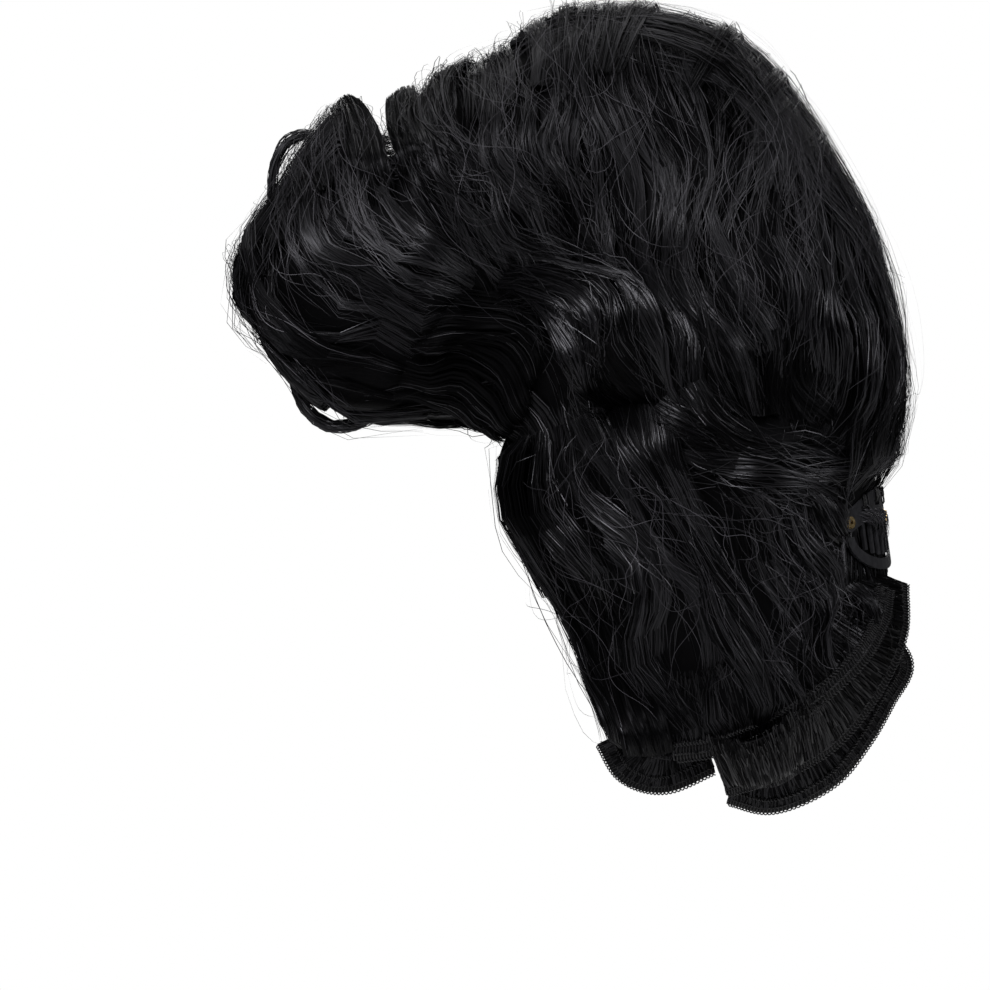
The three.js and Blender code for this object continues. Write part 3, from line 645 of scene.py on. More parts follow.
def comb(field, dice, locks, wisps, strands, rise=LOCK_RISE, base=-0.0008, loose=0.2, wave=1.0,
         tuck=0.0018, standoff=None, sink=None):
    """Wisps and strands of a region: their paths, what they face and how deep in shade they lie.

    rise is how far a lock's middle stands up and base how far its foot does, loose the share of strands
    that stray, wave the size of the waves and tuck how far the ends go in. standoff and sink move the
    hair to the front or into the loft, by shares along and across."""
    middle = on_field(field, np.full((1, 40), 0.5), np.linspace(0, 1, 40), 0)[0][0]
    length = np.linalg.norm(np.diff(middle, axis=0), axis=-1).sum()
    along = np.linspace(0, 1, max(14, round(length / STEP_LENGTH)))
    waves = length / WAVE_LENGTH
    # What the locks are like: each has its own place, wave, height, width and darkness
    lock_middle = (np.arange(locks) + 0.5 + dice.uniform(-0.3, 0.3, locks)) / locks
    lock_phase = dice.uniform(-0.9, 0.9, locks)
    lock_tilt = dice.uniform(-np.pi, np.pi, locks)
    lock_rate = dice.uniform(0.85, 1.15, locks)
    lock_lift = dice.uniform(-0.0012, 0.0016, locks)
    lock_width = dice.uniform(0.5, 0.85, locks) / locks
    lock_sway = wobble(dice, locks, along, waves * 0.4, 0.25 / locks)
    lock_dim = dice.choice((0, 0.15, 0.5), locks)

    def paths(count, keep):
        # keep: each strand's lock, its place across it from -1 to 1, and how high up in it
        lock, a, b = keep
        phase, rate = lock_phase[lock][:, None], lock_rate[lock][:, None]
        narrow = 0.62 + 0.38 * np.sin(2 * np.pi * rate * waves * 0.5 * along + 2 * phase)
        across = lock_middle[lock][:, None] + lock_width[lock][:, None] * a[:, None] * narrow
        across = across + lock_sway[lock]
        tilt = np.sin(2 * np.pi * (rate * waves * 0.8 * along + 0.6 * across) + lock_tilt[lock][:, None])
        dome = np.sqrt(1 - LOCK_ROUNDNESS * a[:, None] ** 2)
        lift = base + lock_lift[lock][:, None] + rise * b[:, None] * dome * narrow
        lift = lift + wave * DEPTH_WAVE * tilt
        lift = lift + wobble(dice, count, along, waves * 1.1, 0.00025)
        lift = lift - tuck * np.clip((along - TUCK_FROM) / (1 - TUCK_FROM), 0, 1) ** 2
        if sink is not None:
            lift = lift - sink(along, across)
        point, facing = on_field(field, across, along, lift)
        side = unit(np.cross(unit(np.gradient(point, axis=1)), facing))
        ends = (0.25 + 0.75 * np.clip(along * 1.6, 0, 1)) * np.clip((1 - along) * 6, 0, 1) ** 0.5
        ends = ends * np.clip(0.2 + 7 * np.minimum(across, 1 - across), 0.2, 1)
        wave_turn = 2 * np.pi * (rate * waves * along + 0.9 * across) + phase + 0.3 * a[:, None]
        sway = SIDE_WAVE * wave * ends * np.sin(wave_turn)
        sway = sway + wobble(dice, count, along, waves * 0.8, 0.0004)
        sway = sway + wobble(dice, count, along, waves * 1.9, 0.00012)
        point = point + side * sway[..., None]
        if standoff is not None:
            point = point - np.array([0, 1, 0]) * standoff(along, across)[..., None]
        return point, facing, side

    keep = dice.integers(0, locks, wisps), dice.uniform(-1, 1, wisps), dice.random(wisps) ** 0.6
    wisp_paths, wisp_facing, _ = paths(wisps, keep)
    # Painted shade: wisps low in their lock are drawn more often in the deep copy, on top of each lock's
    # own random darkness.
    wisp_dim = lock_dim[keep[0]] + 0.7 * (1 - keep[2]) ** 2
    owner = dice.integers(0, wisps, strands)
    stray = (dice.random(strands) < loose) * 1.0
    keep = (keep[0][owner], np.clip(keep[1][owner] + dice.normal(0, 0.08, strands), -1, 1),
            np.clip(keep[2][owner] + dice.uniform(0, 0.3, strands), 0, 1.15))
    strand_paths, strand_facing, side = paths(strands, keep)
    swing = wobble(dice, strands, along, 0.7, 0.0040) + wobble(dice, strands, along, 1.6, 0.0012)
    strand_paths = strand_paths + side * (stray[:, None] * swing)[..., None]
    strand_paths = strand_paths + strand_facing * (0.0003 + 0.0008 * stray)[:, None, None]
    wisp_facing = twisted(dice, wisp_paths, wisp_facing, 0.22)
    strand_facing = twisted(dice, strand_paths, strand_facing, 0.4)
    return (wisp_paths, wisp_facing, wisp_dim), (strand_paths, strand_facing, 0.6 * wisp_dim[owner])


def tapered(paths, dice, low, high):
    """Ribbon widths that narrow at both ends."""
    count, steps = paths.shape[:2]
    along = np.linspace(0, 1, steps)
    return dice.uniform(low, high, (count, 1)) * (0.25 + 0.75 * np.sin(np.pi * along)[None] ** 0.4)


def ribbons(dice, paths, facing, spread, widths):
    """Tapered ribbons, each turned about its own run by a random angle of some spread."""
    return ribbon_parts(paths, twisted(dice, paths, facing, spread), tapered(paths, dice, *widths))


# %% Room for the clip
CLIP_PLACE = np.array([0.485 * WIDTH, -0.21 * DEPTH, -0.096 * HEIGHT])
CLIP_ARC_RADIUS = 0.036
CLIP_START_TURN = math.radians(48)
CLIP_RISE = math.radians(8)
CLIP_SPAN = 0.028
BEHIND_CLIP = -0.0012
CLIP_ROOM_ALONG = (-0.0026, 0.032, 0.002)
CLIP_ROOM_UP = (-0.0125, 0.0070, 0.0025)
CLIP_ROOM_OUT = 0.02
CLIP_SIDE_FROM = 0.05


def on_clip(x, out, up):
    """A place on the clip's curved face: x along it, out from it and up it."""
    turn = CLIP_START_TURN + x / CLIP_ARC_RADIUS
    right = CLIP_ARC_RADIUS * (np.sin(turn) - math.sin(CLIP_START_TURN)) + out * np.sin(turn)
    back = CLIP_ARC_RADIUS * (math.cos(CLIP_START_TURN) - np.cos(turn)) - out * np.cos(turn)
    flat = np.stack([right * math.cos(CLIP_RISE) - up * math.sin(CLIP_RISE), back,
                     right * math.sin(CLIP_RISE) + up * math.cos(CLIP_RISE)], -1)
    return CLIP_PLACE + flat


def from_clip(points):
    """The inverse of on_clip."""
    local = points - CLIP_PLACE
    right = local[..., 0] * math.cos(CLIP_RISE) + local[..., 2] * math.sin(CLIP_RISE)
    up = local[..., 2] * math.cos(CLIP_RISE) - local[..., 0] * math.sin(CLIP_RISE)
    across = right + CLIP_ARC_RADIUS * math.sin(CLIP_START_TURN)
    deep = local[..., 1] - CLIP_ARC_RADIUS * math.cos(CLIP_START_TURN)
    turn = np.arctan2(across, -deep)
    return CLIP_ARC_RADIUS * (turn - CLIP_START_TURN), np.hypot(across, deep) - CLIP_ARC_RADIUS, up


def ramp(value, low, high, width):
    """1 between low and high, falling softly to 0 over a width outside them."""
    rise = np.clip((value - low + width) / width, 0, 1) * np.clip((high + width - value) / width, 0, 1)
    return rise * rise * (3 - 2 * rise)


def behind_clip(points):
    """Presses hair that would cover the clip to just behind its plate."""
    x, out, up = from_clip(points)
    near = ramp(x, *CLIP_ROOM_ALONG) * ramp(up, *CLIP_ROOM_UP)
    near = near * ((out > BEHIND_CLIP) & (out < CLIP_ROOM_OUT) & (points[..., 0] > CLIP_SIDE_FROM))
    pressed = on_clip(x, out + near * (BEHIND_CLIP - out), up)
    return np.where((near > 0)[..., None], pressed, points)


# %% One piece of hair
WISP_WIDTHS = (0.00022, 0.00055)
STRAND_WIDTHS = (0.00009, 0.00017)
ALL_TRIANGLES = []
SHADED_AS_FAR_AS = 0.004

# Places that lie in shadow or, below zero, catch the light: x, y in the view, reach in mm, amount
SHADES = [
    (765, 398, 9, 1.0), (615, 388, 8, 0.8), (572, 222, 7, 0.7), (600, 612, 9, 0.8), (480, 355, 12, 0.9),
    (535, 500, 9, 0.8), (690, 452, 9, 0.8), (735, 548, 8, 0.5), (672, 702, 9, 0.6), (395, 385, 10, 0.5),
    (380, 150, 5, 0.6), (800, 690, 8, 0.3), (755, 296, 7, -0.6), (838, 350, 8, -0.5), (670, 230, 9, -0.5),
    (808, 268, 7, -0.3), (665, 595, 8, -0.6), (778, 575, 9, -0.5), (425, 276, 7, -0.6), (305, 262, 6, -0.5),
    (770, 160, 7, -0.4), (720, 408, 6, -0.5), (425, 335, 5, -0.6), (350, 312, 5, -0.4), (860, 480, 7, -0.4),
    (288, 322, 10, 0.8), (264, 285, 6, 0.6), (335, 352, 9, 0.6), (693, 140, 11, 0.55), (600, 105, 9, 0.4),
    (455, 175, 8, 0.4), (745, 240, 7, 0.35),
]


def in_shade(paths, dim, dice):
    """For each segment of the ribbons, whether it lies far enough in painted shade to be drawn in the
    darker copy of the hair.
    """
    middle = (paths[:, 1:] + paths[:, :-1]) / 2
    amount = np.broadcast_to(dim[:, None], middle.shape[:2]).copy()
    for x, y, reach, much in SHADES:
        amount += much * nearness(middle, x, y, reach) * (middle[..., 1] < SHADED_AS_FAR_AS)
    return (amount > dice.random((len(paths), 1))).ravel()


def add_hair(name, parts, material, shade=None):
    """One piece of hair; the faces that shade names are drawn in the darker copy that paints shade."""
    mesh = mesh_from_parts(name, parts)
    piece = add_object(name, mesh, material)
    if shade is not None:
        mesh.materials.append(PAINTED_SHADE_HAIR)
        mesh.polygons.foreach_set("material_index", shade.astype(np.int32))
    ALL_TRIANGLES.append(2 * len(mesh.polygons))
    print(name, "triangles:", ALL_TRIANGLES[-1], "in all:", sum(ALL_TRIANGLES))
    return piece


def combed_hair(name, field, seed, locks, wisps, strands, hair=WISP_HAIR, **ways):
    """A region's wisps as one piece, and its strands over them as another."""
    dice = np.random.default_rng(seed)
    made = []
    for kind, material, widths, (paths, facing, dim) in zip(
            ("_wisps", "_strands"), (hair, STRAND_HAIR), (WISP_WIDTHS, STRAND_WIDTHS),
            comb(field, dice, locks, wisps, strands, **ways)):
        paths = behind_clip(paths)
        parts = [ribbon_parts(paths, facing, tapered(paths, dice, *widths))]
        made.append(add_hair(name + kind, parts, material, in_shade(paths, dim, dice)))
    return made


# %% Hair on the front
SWEEP_THICKNESS = 0.0026


def under_the_sweep(along, across):
    """Sinks the body's hair where the crest's sweep lies over it, near the outline on the right."""
    return SWEEP_THICKNESS * np.clip((across - 0.42) * 6, 0, 1) * np.clip(1.2 - along / 0.3, 0, 1)


combed_hair("body_front", FIELDS["body"], 23, 24, 2400, 1700, wave=0.7, sink=under_the_sweep)
combed_hair("crest_sweep", FIELDS["sweep"], 24, 7, 560, 380, base=0.0004, rise=0.0016, wave=0.3)
# The lobe is drawn in its darker copy: painted shade.
combed_hair("lobe_front", FIELDS["lobe"], 25, 11, 1300, 800, hair=SHADED_LOBE_HAIR, loose=0.12, wave=0.6)
combed_hair("lower_front", FIELDS["lower"], 21, 14, 1400, 1000, hair=SHADED_HAIR, loose=0.12, wave=1.2,
            tuck=0.0004)
combed_hair("waist_front", FIELDS["waist"], 22, 4, 360, 260, hair=SHADED_HAIR, base=0.0002)
# Under the lobe, in the hollow and at the pinch the hair is drawn in the deep copy: painted shade.
combed_hair("under_front", FIELDS["under"], 26, 5, 300, 60, hair=PAINTED_SHADE_HAIR, wave=0.4)
combed_hair("under_back", mirrored(FIELDS["under"]), 27, 4, 180, 60, wave=0.4)
combed_hair("hollow_front", FIELDS["hollow"], 52, 5, 240, 60, hair=PAINTED_SHADE_HAIR, rise=0.001)
combed_hair("pinch_front", FIELDS["pinch"], 60, 5, 300, 40, hair=PAINTED_SHADE_HAIR, base=-0.0014, rise=0.0012,
            wave=0.5)

# %% [markdown]
# ## Back and edges
#
# The back falls as the front does. Between the two, along the outline, the guides of the front and the
# back are joined across the edge.

# %% Hair on the back
combed_hair("body_back", mirrored(FIELDS["body"]), 33, 20, 1300, 400, wave=0.7)
combed_hair("lobe_back", mirrored(FIELDS["lobe"]), 35, 9, 700, 300, wave=0.8)
combed_hair("lower_back", mirrored(FIELDS["lower"]), 31, 11, 800, 350)
combed_hair("waist_back", mirrored(FIELDS["waist"]), 32, 3, 220, 100)
combed_hair("hollow_back", mirrored(FIELDS["hollow"]), 53, 5, 200, 60, rise=0.001)
combed_hair("pinch_back", mirrored(FIELDS["pinch"]), 54, 6, 420, 160)


# %% Hair along the edges
def round_edge(rows, middle_angle, reach):
    """A field that runs round the arch between two angles, over a range of cross-sections."""
    turns = np.linspace(rows[0] / LAST_ROW, rows[1] / LAST_ROW, len(GUIDE_STEPS))
    return np.array([np.stack([turns, np.full_like(turns, middle_angle + side * reach)], -1)
                     for side in (-1, -0.33, 0.33, 1)])


combed_hair("outer_edge_body", round_edge((10.5, 4), 0, 0.7), 41, 6, 360, 240, wave=0.6)
combed_hair("outer_edge_lower", round_edge((5.5, 0.3), 0, 0.8), 42, 5, 260, 120, wave=0.6)
combed_hair("outer_edge_lobe", round_edge((13.8, 18), 0, 0.8), 43, 4, 220, 140, wave=0.6)
combed_hair("inner_edge_lower", round_edge((5.5, 0.3), np.pi, 1.0), 44, 6, 300, 40, hair=SHADED_HAIR,
            base=-0.0028, rise=0.0016, wave=0.3)
# The inner edge of the arch is drawn in the deep copy: painted shade.
combed_hair("inner_edge_arch", round_edge((5, 18), np.pi, 0.75), 45, 6, 340, 60, hair=PAINTED_SHADE_HAIR,
            base=-0.0016, rise=0.0016, wave=0.3)

# %% [markdown]
# ## Locks over the pinched place
#
# Where the bundle is pinched, two locks have sprung forward off the hair behind them. They are combed as
# any region is, then moved to the front by most in the middle of their run, so that they bridge over it.

# %% Front locks
FRONT_LOCK_STANDOFF = 0.0175
FAR_LOCK_SHARE = 0.55
FRONT_LOCK_SUNK_END = 0.004


def bridge(along, across):
    """How far the front locks stand off: most in the middle of the nearest one, sunk in at the far end."""
    nearest = 1 - FAR_LOCK_SHARE * np.clip(across, 0, 1)
    return (FRONT_LOCK_STANDOFF * nearest * np.sqrt(np.sin(np.pi * along ** 1.3))
            - FRONT_LOCK_SUNK_END * np.clip((along - 0.8) / 0.2, 0, 1))


front_locks = combed_hair("front_locks", FIELDS["front_locks"], 51, 5, 560, 480, rise=0.0028, tuck=0,
                          standoff=bridge)
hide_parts("front_locks")

# %% [markdown]
# ## Ends, covers and loops
#
# The loft ends in two flat cuts, which folded hair never shows, so hair wraps round both ends. Flat locks
# with guides of their own hide the two inner clips, fill the inner edge and stand up on both sides of
# the notch beside the lobe. Two thin locks loop clear of the lobe's outline.

# %% Rounded ends
LOCK_STEPS = 16
HAIR_KINDS = ("_wisps", "_strands")


def rounded_end(name, row, bulge, seed, wisps, strands):
    """Hair that wraps an end of the loft, from its outer side under to its inner side."""
    dice = np.random.default_rng(seed)
    along = np.linspace(0, 1, LOCK_STEPS)
    turn = np.full(1, row / LAST_ROW)
    outer, inner, front = (on_bundle(turn, np.full(1, angle))[0][0] for angle in (0, np.pi, -np.pi / 2))
    back = on_bundle(turn - 0.02, np.zeros(1))[0][0] - outer
    middle, half, deep = (outer + inner) / 2, (outer - inner) / 2, abs(front[1])
    away = unit(-(back - half * (back @ half) / (half @ half)))
    for kind, count, material, widths in zip(HAIR_KINDS, (wisps, strands), (SHADED_HAIR, STRAND_HAIR),
                                             (WISP_WIDTHS, STRAND_WIDTHS)):
        side = np.arcsin(dice.uniform(-0.98, 0.98, (count, 1))) + wobble(dice, count, along, 0.8, 0.12)
        round_it = -0.6 + (np.pi + 1.2) * along + dice.normal(0, 0.1, (count, 1))
        grow = 1.02 + 0.1 * dice.random((count, 1)) + wobble(dice, count, along, 1.3, 0.03)
        across = np.clip(1.3 * np.cos(round_it), -1.03, 1.03)
        facing = (half * (across * np.cos(side))[..., None]
                  + away * (np.sin(round_it) * np.cos(side))[..., None] * bulge)
        facing[..., 1] += deep * np.sin(side)
        paths = middle + facing * grow[..., None]
        add_hair(name + kind, [ribbons(dice, paths, unit(facing), 0.25, widths)], material)


rounded_end("lobe_end", 17.8, 0.0036, 57, 320, 60)
rounded_end("lower_end", 0.1, 0.003, 58, 260, 40)

# %% Hair behind the clip
BEHIND_CLIP_ALONG = (-0.003, 0.031)
BEHIND_CLIP_TOP, BEHIND_CLIP_DROP = 0.0125, 0.028
BEHIND_CLIP_WIDTHS = 1.3 * np.array(WISP_WIDTHS)


def behind_the_clip(name, seed, wisps):
    """Hair that hangs just behind the clip, so that nothing shows through its openings."""
    dice = np.random.default_rng(seed)
    along = np.linspace(0, 1, LOCK_STEPS)
    x = dice.uniform(*BEHIND_CLIP_ALONG, (wisps, 1)) + wobble(dice, wisps, along, 0.9, 0.0012)
    up = BEHIND_CLIP_TOP - BEHIND_CLIP_DROP * along + dice.normal(0, 0.0008, (wisps, 1))
    out = -0.0003 - 0.0017 * dice.random((wisps, 1)) - 0.003 * np.clip(-up - 0.012, 0, 1) / 0.004
    paths = on_clip(x, out, up)
    facing = unit(on_clip(x, out + 0.001, up) - paths)
    add_hair(name, [ribbons(dice, paths, facing, 0.2, BEHIND_CLIP_WIDTHS)], SHADED_HAIR)


behind_the_clip("hair_behind_clip", 59, 420)

# %% Guides of the covers
# The side that each faces, then its guides: x and y in the view, and millimetres behind the middle plane
COVERS = {
    "lock_over_back_clip": (1, [
        [(690, 640, 13), (700, 690, 12.6), (710, 730, 12.4), (720, 765, 11.4), (732, 790, 6)],
        [(735, 630, 14), (748, 680, 13.4), (760, 725, 12.8), (772, 758, 11.6), (784, 785, 6)],
        [(780, 610, 14), (800, 660, 14), (815, 705, 13), (828, 740, 11.6), (838, 768, 6.5)],
        [(818, 596, 13), (842, 640, 13), (858, 680, 12.6), (872, 710, 11), (882, 735, 6)],
    ]),
    "lock_over_left_clip": (-1, [
        [(600, 672, -9), (606, 696, -12.5), (612, 716, -15.4), (618, 734, -16.4), (622, 752, -13)],
        [(622, 664, -9), (630, 692, -13.5), (637, 714, -16.4), (644, 733, -16.8), (650, 752, -13)],
        [(646, 668, -9), (654, 694, -12.5), (661, 713, -15.4), (666, 731, -15.6), (670, 748, -12)],
    ]),
    "lock_left_of_notch": (-1, [
        [(330, 108, -1), (335, 120, -9), (343, 143, -15.5), (352, 175, -20), (366, 222, -15)],
        [(346, 94, 0), (353, 112, -7.5), (362, 141, -14.8), (372, 176, -20.6), (386, 226, -16)],
        [(359, 98, 1), (370, 115, -5), (382, 139, -11.5), (391, 172, -17.5), (404, 226, -14)],
    ]),
    "lock_right_of_notch": (-1, [
        [(386, 98, 1), (387, 114, -4), (390, 136, -10), (398, 162, -18), (412, 206, -14)],
        [(398, 88, 0), (401, 107, -7), (406, 131, -16), (414, 160, -25), (430, 206, -18)],
        [(414, 84, -1), (418, 104, -10), (424, 129, -19.5), (434, 160, -26), (450, 206, -20)],
    ]),
    "lock_inside_edge": (-1, [
        [(510, 428, 1), (499, 462, 1), (500, 500, 1), (517, 546, 1), (542, 598, 1)],
        [(528, 428, 1), (521, 462, 1), (523, 500, 1), (540, 546, 1), (562, 598, 1)],
        [(546, 428, 1), (539, 462, 1), (541, 500, 1), (557, 546, 1), (578, 598, 1)],
    ]),
    "lock_over_front_clip": (-1, [
        [(724, 722, -11.6), (730, 742, -12.6), (737, 760, -12), (744, 777, -9.6), (748, 786, -7.6)],
        [(752, 718, -12), (758, 738, -13), (764, 757, -12.2), (771, 774, -9.6), (775, 783, -7.6)],
        [(776, 714, -12), (783, 733, -12.6), (789, 748, -11.6), (795, 762, -9), (798, 770, -7.2)],
    ]),
}

# %% Covers
# Share of a cover's wisps drawn in the deep copy, as painted shade.
SHADE_SHARE_OF_COVER = 0.4


def cover(name, seed, wisps, strands, hair=SHADED_HAIR, ragged=(0, 0)):
    """A flat lock along its own guides; its strands start and end within the ragged shares of it."""
    side, guides = COVERS[name]
    dice = np.random.default_rng(seed)
    along = np.linspace(0, 1, LOCK_STEPS)
    rows = np.array(guides, float)
    right, high = from_view(rows[..., 0], rows[..., 1])
    rows = np.stack([right, rows[..., 2] / 1000, high], -1)
    lines = np.stack([through(guide, along) for guide in rows], 1)
    for kind, count, material, widths in zip(("", "_strands"), (wisps, strands), (hair, STRAND_HAIR),
                                             (WISP_WIDTHS, STRAND_WIDTHS)):
        share = np.clip(dice.random((count, 1)) + wobble(dice, count, along, 1.0, 0.03), 0, 1)
        paths = np.stack([through(lines[k], share[:, k]) for k in range(LOCK_STEPS)], 1)
        facing = np.broadcast_to(np.array([0.0, side, 0.0]), paths.shape)
        lift = 0.0008 * dice.random((count, 1)) + 0.0004 * np.sin(20 * share + 6 * along)
        paths = paths + facing * lift[..., None]
        start, end = (limit * dice.random((count, 1)) for limit in ragged)
        step = (start + (1 - start - end) * along) * (LOCK_STEPS - 1.001)
        which, whole, part = np.arange(count)[:, None], step.astype(int), (step % 1)[..., None]
        paths = paths[which, whole] * (1 - part) + paths[which, whole + 1] * part
        parts = [ribbons(dice, paths, facing, 0.3, widths)]
        # Painted shade: a random share of the wisps is drawn in the deep copy.
        deep = np.repeat(dice.random(count) < SHADE_SHARE_OF_COVER, LOCK_STEPS - 1)
        add_hair(name + kind, parts, material, deep)


cover("lock_over_back_clip", 55, 620, 160)
cover("lock_over_front_clip", 56, 260, 90)
# These two covers lie where shade falls and are drawn in the deep copy: painted shade.
cover("lock_over_left_clip", 61, 180, 24, hair=PAINTED_SHADE_HAIR)
cover("lock_inside_edge", 62, 170, 20, hair=PAINTED_SHADE_HAIR)
cover("lock_left_of_notch", 63, 240, 90, ragged=(0.09, 0.5))
cover("lock_right_of_notch", 64, 240, 90, ragged=(0.12, 0.5))

# %% Thin locks
THIN_LOCKS = [
    [(332, 154), (311, 136), (287, 143), (273, 174), (273, 222)],
    [(287, 348), (301, 400), (325, 424), (356, 424), (384, 413)],
]
THIN_LOCK_RADIUS = 0.0013
LOOP_STEPS = 20
THIN_LOCK_WIDTHS, THIN_LOCK_RIDGE = (0.0002, 0.0005), 0.3


def thin_lock(name, guide, seed, strands):
    """Ridged ribbons wound loosely about one curve in the front view."""
    dice = np.random.default_rng(seed)
    share = np.linspace(0, 1, LOOP_STEPS)
    line = through(guide, share)
    right, high = from_view(line[:, 0], line[:, 1])
    line = np.stack([right, np.zeros(LOOP_STEPS), high], -1)
    flow = unit(np.gradient(line, axis=0))
    side = np.stack([flow[:, 2], np.zeros(LOOP_STEPS), -flow[:, 0]], -1)
    angle = dice.uniform(0, 2 * np.pi, (strands, 1)) + dice.uniform(-2, 2, (strands, 1)) * share
    reach = THIN_LOCK_RADIUS * np.sqrt(dice.random((strands, 1))) * (0.5 + 0.5 * np.sin(np.pi * share))
    reach = reach + wobble(dice, strands, share, 2.5, 0.0003)
    front = np.array([0, -1, 0])
    facing = side * np.cos(angle)[..., None] + front * np.sin(angle)[..., None]
    paths = line + facing * reach[..., None]
    widths = tapered(paths, dice, *THIN_LOCK_WIDTHS)
    parts = [ribbon_parts(paths, facing + front * 0.6, widths, THIN_LOCK_RIDGE)]
    return add_hair(name, parts, WISP_HAIR)


for number, guide in enumerate(THIN_LOCKS):
    thin_lock(f"thin_lock_{number + 1}", guide, 61 + number, 70)

# %% [markdown]
# ## Stitched bands
#
# Each weft ends in a band of overlock stitching: the hair goes into a flat oval seam, threads wrap round
# it every half millimetre or so, and a twisted edge runs along each side. The flat skirts of hair that
# leave the bands lie like tiles, one band over the next.

# %% Stitching finish
def stitching_finish(name, low, high, gloss):
    """Matt black thread with a grain of fibres."""
    material, nodes, links, shader, fibres = noisy_finish(
        name, 2600, 3, (0.35, 0.75), low, high, 0.6, 0.0001)
    shader.inputs["Roughness"].default_value = 0.45
    shader.inputs["Specular IOR Level"].default_value = gloss
    links.new(nodes.new("ShaderNodeTexCoord").outputs["Object"], fibres.inputs["Vector"])
    return material


THREAD_BLACK = (0.002, 0.002, 0.0024, 1)
STITCHING = stitching_finish("black_stitching", THREAD_BLACK, (0.010, 0.0095, 0.0115, 1), 0.22)
SEAM = stitching_finish("black_seam", (0.0006, 0.0006, 0.0008, 1), THREAD_BLACK, 0.06)

# %% Where the bands run
BAND_WIDTH = 0.0046
BAND_THICKNESS = 0.0018
BANDS = {
    "weft_band_front": (30, [(54.2, -17.4, -14), (53.2, -21.5, -18), (50.5, -25.5, -22), (45, -30, -25),
                             (38, -34, -24), (31, -36.5, -22), (24, -37.5, -19)]),
    "weft_band_second": (30, [(57, -17, 2), (56.5, -23.5, -4), (52.5, -30.5, -8), (46.5, -36.5, -10),
                              (39, -40, -11), (31.5, -42, -10)]),
    "weft_band_bottom": (35, [(55.5, -24, 10), (58, -27.5, 8), (55.5, -31.5, 6), (52, -36.5, 4),
                              (47, -41.5, 3), (39, -44.5, 2), (32.5, -43.5, 3)]),
    "weft_band_left": (25, [(30, -39.5, 1), (23, -41.8, -2), (17.5, -40.5, -4), (14.5, -36.5, -4)]),
}
BUNDLE_END_MIDDLE = np.array([0.34 * WIDTH, 0, -0.24 * HEIGHT])


def weft_frame(name):
    """A function from shares along a band to its middle line, its flow, its outer side and its face."""
    turn, rows = BANDS[name]
    line = np.array(rows) / 100 * (WIDTH, HEIGHT, DEPTH)
    line = line[:, [0, 2, 1]]

    def at(share):
        on = np.clip(share, 0.0005, 0.9995)
        middle = through(line, on)
        flow = (through(line, on + 0.0004) - through(line, on - 0.0004)) / 0.0008
        middle = middle + flow * (share - on)[..., None]
        flow = unit(flow)
        outward = middle - BUNDLE_END_MIDDLE
        outward[..., 1] = 0
        face = unit(outward) * math.sin(math.radians(turn))
        face[..., 1] = -math.cos(math.radians(turn))
        side = unit(np.cross(flow, face))
        side = side * np.sign((side * (middle - BUNDLE_END_MIDDLE)).sum(-1, keepdims=True))
        up = unit(np.cross(flow, side))
        up = up * np.sign((up * face).sum(-1, keepdims=True))
        return middle, flow, side, up

    return at


CLIP_BAND_LEAD, CLIP_BAND_TAIL = 0.016, 0.005
TAB_RADIUS = 0.0023
GAP = 0.0003


def clip_band_frame(share):
    """What weft_frame gives, for the band that the clip is sewn to."""
    x = -CLIP_BAND_LEAD + share * (CLIP_BAND_LEAD + CLIP_SPAN + CLIP_BAND_TAIL)
    level, depth = TAB_RADIUS + BAND_WIDTH / 2, -GAP - BAND_THICKNESS / 2
    middle = on_clip(x, depth, level)
    flow = unit(on_clip(x + 0.0002, depth, level) - middle)
    side = unit(on_clip(x, depth, level + 0.0002) - middle)
    up = unit(on_clip(x, depth + 0.0002, level) - middle)
    return middle, flow, side, up


# %% Threads from arrays
THREAD_SIDES = 3


def thread_parts(paths, radius, closed=False):
    """Round threads along paths, n threads by m points, closed into rings where that is asked."""
    if closed:
        paths = np.concatenate([paths, paths[:, :1]], 1)
    n, m = paths.shape[:2]
    flow = np.gradient(paths, axis=1)
    if closed:
        flow[:, 0] = flow[:, -1] = paths[:, 1] - paths[:, -2]
    flow = unit(flow)
    helper = np.where(np.abs(flow[..., 1:2]) < 0.9, np.array([0.0, 1.0, 0.0]), np.array([1.0, 0.0, 0.0]))
    a = unit(np.cross(flow, helper))
    b = np.cross(flow, a)
    angle = np.linspace(0, 2 * np.pi, THREAD_SIDES, endpoint=False)
    ring = a[:, :, None] * np.cos(angle)[:, None] + b[:, :, None] * np.sin(angle)[:, None]
    points = paths[:, :, None] + ring * radius
    index = np.arange(n * m * THREAD_SIDES).reshape(n, m, THREAD_SIDES)
    beside = np.roll(index, -1, axis=2)
    faces = np.stack([index[:, :-1], beside[:, :-1], beside[:, 1:], index[:, 1:]], -1)
    share = np.broadcast_to(np.arange(m)[None, :, None] * radius, points.shape[:3])
    uv = np.stack([np.broadcast_to(angle * radius, share.shape), share], -1)
    return points.reshape(-1, 3), faces.reshape(-1, 4), uv.reshape(-1, 2)


# %% Stitched bands
STITCH_PITCH = 0.00062
THREAD_RADIUS = 0.00019
WRAP_LEAN = 0.45
CLEAR_OF_ZERO = 1e-4
# Place across the half width, radius of the twist, and height as a share of the half thickness
CORDS = ((1.0, 0.00032, 0.18), (-0.82, 0.0003, 1.035), (0.15, 0.00012, 1.035))
CORD_STEPS_PER_TURN = 7


